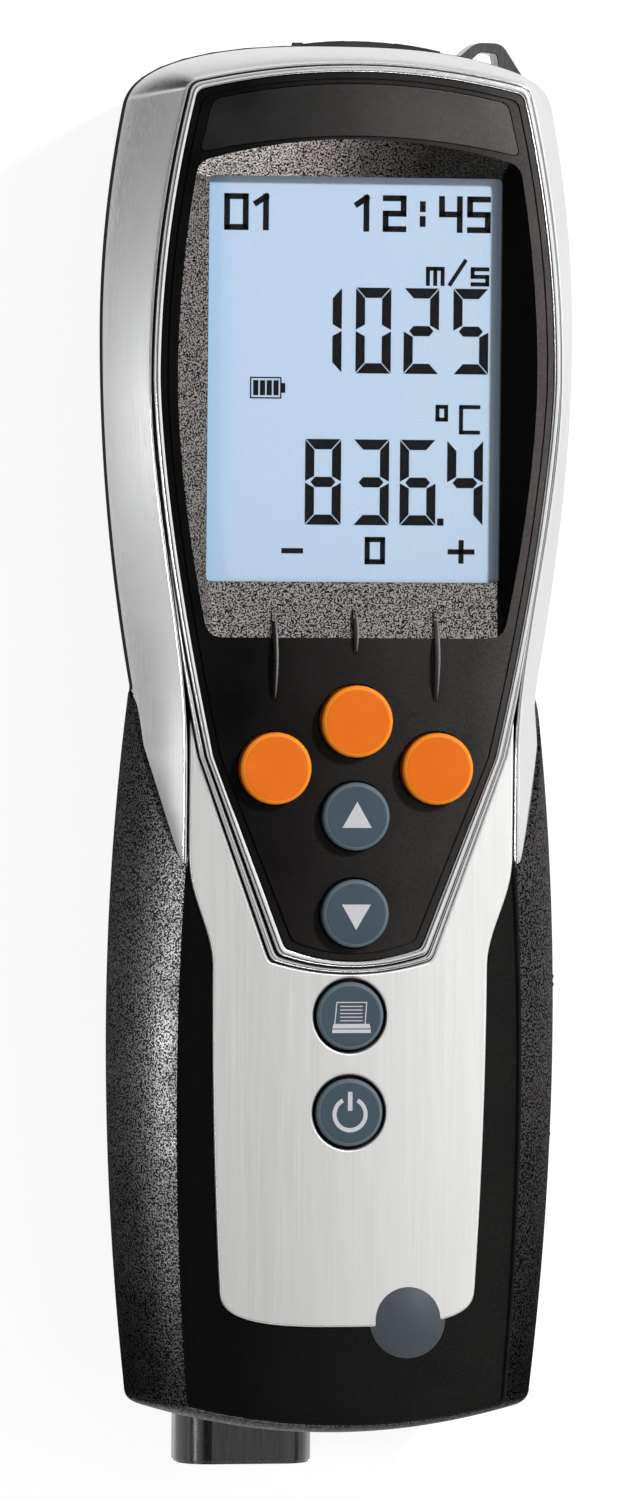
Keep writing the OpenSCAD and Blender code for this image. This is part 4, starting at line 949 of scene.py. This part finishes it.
def keypad_plate():
    edge = ((0.0, DECK_Z), (0.0, 41.5), (0.04, 41.64), (0.12, 41.74), (0.24, 41.79), (0.36, PLATE_Z))
    tip_point = 103
    verts, faces, last = [], [], []

    def rings(loop_of):
        """The rounded edge along one outline, which loop_of gives for each inset."""
        o = len(verts)
        for e, z in edge:
            loop = loop_of(e)
            verts.extend((x, y, z) for x, y in loop)
        n = len(loop)
        for j in range(len(edge) - 1):
            for i in range(n):
                k = (i + 1) % n
                faces.append((o + j * n + i, o + j * n + k, o + (j + 1) * n + k, o + (j + 1) * n + i))
        last.append([(o + (len(edge) - 1) * n + i) for i in range(n)])

    count = len(plate_loop(0.0))

    def outer(e):
        """The whole outline, with as many points at every inset: some are put in or left out at the tip."""
        loop = plate_loop(e)
        while len(loop) < count:
            loop.insert(tip_point, loop[tip_point - 1])
        while len(loop) > count:
            loop.pop(tip_point)
        return loop + [(-x, y) for x, y in loop[-2:0:-1]]

    rings(outer)
    for cy, r in ((PRINT_Y, PRINT_R), (POWER_Y, POWER_R)):
        rings(lambda e: hole(cy, r + e))
    ids = [i for l in last for i in l]
    for t in tessellate_polygon([[Vector((*verts[i][:2], 0)) for i in l] for l in last]):
        faces.append(tuple(ids[i] for i in t))
    me = bpy.data.meshes.new("keypad_plate_look")
    me.from_pydata([Vector(v) * MM for v in verts], [], faces)
    clean(me, 1e-6)
    me.materials.append(M["plate"])
    me.shade_smooth()
    flat = (PLATE_Z - 0.005) * MM
    me.normals_split_custom_set_from_vertices([(0, 0, 1) if v.co.z > flat else v.normal for v in me.vertices])
    o = new_piece("keypad_plate_look", me, "housing")
    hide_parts("keypad_plate")


keypad_plate()


# Grip

ROLL = (  # section of the rim between flank and margin: inset, height and lean in degrees
    (0.0, 41.9, 28.5), (0.10, 41.96, 14), (0.22, 41.97, -4), (0.33, 41.9, -34), (0.41, 41.7, -60), (0.44, 41.28, -80))
NUBS_Y = (-34.4, -35.6, -58.8)


def front_half(y):
    """Half the width of the grip's front edge."""
    wide_y, wide = -50, PLATE_W / 2 + 1.7
    if y > wide_y:
        return bow(y, wide_y, wide, TAIL_Y, PLATE_W / 2 + 0.6)
    return bow(y, wide_y, wide, FOOT_Y, PLATE_W / 2 - 0.2)


def joint_y(z):
    """Where frame and grip meet at height z."""
    return TIP_Y + (TAIL_Y - TIP_Y) * (max(0.0, z - SPLIT_Z) / (CREASE_Z - SPLIT_Z)) ** JOINT_POWER


def grip_edge(half, end, r, top, n=80):
    """Right half of a grip outline, from the joint at y = top to the middle of the bowed foot."""
    h = half(FOOT_Y)
    c = end + FOOT_BOW * h * h
    pts = [(half(y), y) for y in (top + (c + r - top) * i / n for i in range(n + 1))]
    pts += curve(pts[-1], (h, c), (h - r, c - FOOT_BOW * (2 * h * r - r * r)), 10)
    for i in range(1, 25):
        x = (h - r) * (1 - i / 24)
        pts.append((x, c - FOOT_BOW * (h * h - x * x)))
    return pts


def grip_row(share, z, inset=0.0):
    """One level of the flank, from the left joint round the foot to the right joint."""
    top = joint_y(min(z, CREASE_Z)) - 0.08
    rear = grip_edge(grip_half, -GRIP_END, 2.0, top)
    front = grip_edge(lambda y: front_half(y) - inset, -GRIP_END + FOOT_EDGE + inset, 1.2, top)
    right = [(rx + (fx - rx) * share, ry + (fy - ry) * share, z) for (rx, ry), (fx, fy) in zip(rear, front)]
    return [(-x, y, w) for x, y, w in right] + right[-2::-1]


def inwards(a):
    """Share of the way from the rear to the front edge at arc angle a."""
    return (1 - math.cos(a)) / (1 - math.cos(FLANK_ARC))


def grip_lean(a, x, y):
    """Lean of the flank at arc angle a: a full soft round at the sides, steeper at the foot."""
    side = 39 - 10 * ease((x + 14) / 28) - 10.5 * inwards(a)
    foot = 78 - 40 * inwards(a)
    return math.radians(side + (foot - side) * ease((-98.5 - y) / 1.6))


def open_sleeve():
    """The CAD sleeve without its flank, but with the nubs on it."""
    def look(c, n):
        return 1 if n.z > 0.98 and c.z > 40.5 else 0

    sleeve = dressed("grip_sleeve", ["grip", "margin"], bevel=0, pick=look)
    bm = bmesh.new()
    bm.from_mesh(sleeve.data)
    gone = []
    for f in bm.faces:
        c, n = f.calc_center_median() / MM, f.normal
        slanted = c.z > SPLIT_Z + 0.05 and 0.02 < n.z < 0.95
        side = abs(c.x) > 22 and n.x * c.x > 4
        foot = c.y < -96 and n.y < -0.3
        nub = c.x > 30 and c.z < 27.3 and min(abs(c.y - y) for y in NUBS_Y) < 0.7
        if slanted and (side or foot) and not nub:
            gone.append(f)
    bmesh.ops.delete(bm, geom=gone, context="FACES")
    bm.to_mesh(sleeve.data)
    bm.free()


def grip_skin(name, look, rows, lean):
    """A part of the flank over rows from level to level. lean gives the shading lean of row j at a column's start."""
    columns = list(zip(*rows))
    piece = loft(name, columns, look, closed=False, sharp=180)
    lean_normals(piece, columns, [[lean(j, *col[0][:2]) for j in range(len(rows))] for col in columns], lambda i: 2)


def grip(levels=44):
    open_sleeve()
    arcs = [FLANK_ARC * j / levels for j in range(levels + 1)]
    rise = (CREASE_Z - SPLIT_Z) / math.sin(FLANK_ARC)
    grip_skin("grip_flank", "grip", [grip_row(inwards(a), SPLIT_Z + rise * math.sin(a)) for a in arcs],
              lambda j, x, y: grip_lean(arcs[j], x, y))
    grip_skin("grip_rim", "margin", [grip_row(1, z, inset) for inset, z, lean in ROLL],
              lambda j, x, y: math.radians(ROLL[j][2]))


grip()


# Keys

def key_face(c, n):
    """Which material a face of a key has: the top; the rounded rim, lighter as painted highlight; the side, darker as
    painted shade.
    """
    return 2 if abs(n.z) < 0.06 else 1 if n.z < 0.94 else 0


for key in ("function_key_left", "function_key_middle", "function_key_right"):
    dressed(key, ["orange", "orange_painted_highlight", "orange_painted_shade"], key, bevel=0, pick=key_face)
for key in ("up_key", "down_key", "print_key", "power_key"):
    dressed(key, ["slate", "slate_painted_highlight", "slate_painted_shade"], key, bevel=0, pick=key_face)


def arc_band(cy, r0, r1, a0, a1, n=40):
    """A band from radius r0 to r1 and from angle a0 to a1, in degrees."""
    a = [math.radians(a0 + (a1 - a0) * i / n) for i in range(n + 1)]
    ends = [(r1, v) for v in a] + [(r0, v) for v in a[::-1]]
    return [(r * math.cos(v), cy + r * math.sin(v)) for r, v in ends]


def icon(key, shapes, cy, top):
    """A thin mark on top of a key, that rides with it."""
    prisms(key + "_icon", [[(x, y + cy) for x, y in q] for q in shapes], top, top + 0.03, "icon", key)


UP_Y, DOWN_Y, HIGH_TOP, LOW_TOP = -9.0, -23.8, 45.7, 42.4  # places and tops of the keys, in millimetres
PAPER = [  # a sheet: its edges, five lines of print, and the tray under it
    bar(-2.3, 2.0, 2.5, 2.16),
    [(-2.3, 2.0), (-2.14, 2.0), (-2.44, -1.2), (-2.6, -1.2)],
    [(2.34, 2.0), (2.5, 2.0), (2.3, -1.2), (2.14, -1.2)],
    *(bar(-1.7, 1.4 - 0.55 * i, 1.8, 1.56 - 0.55 * i) for i in range(5)),
    [(-2.7, -1.2), (2.9, -1.2), (3.1, -1.9), (-2.9, -1.9)],
    bar(-2.9, -2.6, 3.1, -2.05),
]
icon("up_key", [[(0, 2.3), (-2.28, -1.7), (2.28, -1.7)]], UP_Y, HIGH_TOP)
icon("down_key", [[(-2.25, 1.4), (0, -2.5), (2.25, 1.4)]], DOWN_Y, HIGH_TOP)
icon("print_key", PAPER, PRINT_Y, LOW_TOP)
icon("power_key", [arc_band(-0.25, 2.1, 2.75, 118, 422), bar(-0.36, 0.3, 0.36, 3.2)], POWER_Y, LOW_TOP)


# Remaining outer pieces and the inside

plain("keypad_mat", "mat")
plain("main_board", "board")
plain("board_chips", "chip")
dressed("badge", ["badge"], bevel=0)
dressed("socket_block", ["block"], bevel=0.3)
dressed("probe_socket_left", ["insert"], bevel=0.1)
dressed("probe_socket_right", ["insert"], bevel=0.1)
dressed("strap_eyelet", ["eyelet"], bevel=0.5, segments=3)
dressed("interface_cover", ["flap"], "interface_cover", bevel=0.25)
dressed("usb_socket", ["tin"], bevel=0.1)
dressed("infrared_window", ["infrared"], bevel=0.15)
dressed("rear_housing", ["rear"], bevel=0.25)
plain("battery_cells", "cell")
plain("battery_contacts", "contact")
dressed("battery_cover", ["rear"], "battery_cover", bevel=0.15)
dressed("rear_magnets", ["magnet"], bevel=0.2)
dressed("housing_screws", ["screw"], bevel=0.1)

scene.view_settings.view_transform = "Standard"
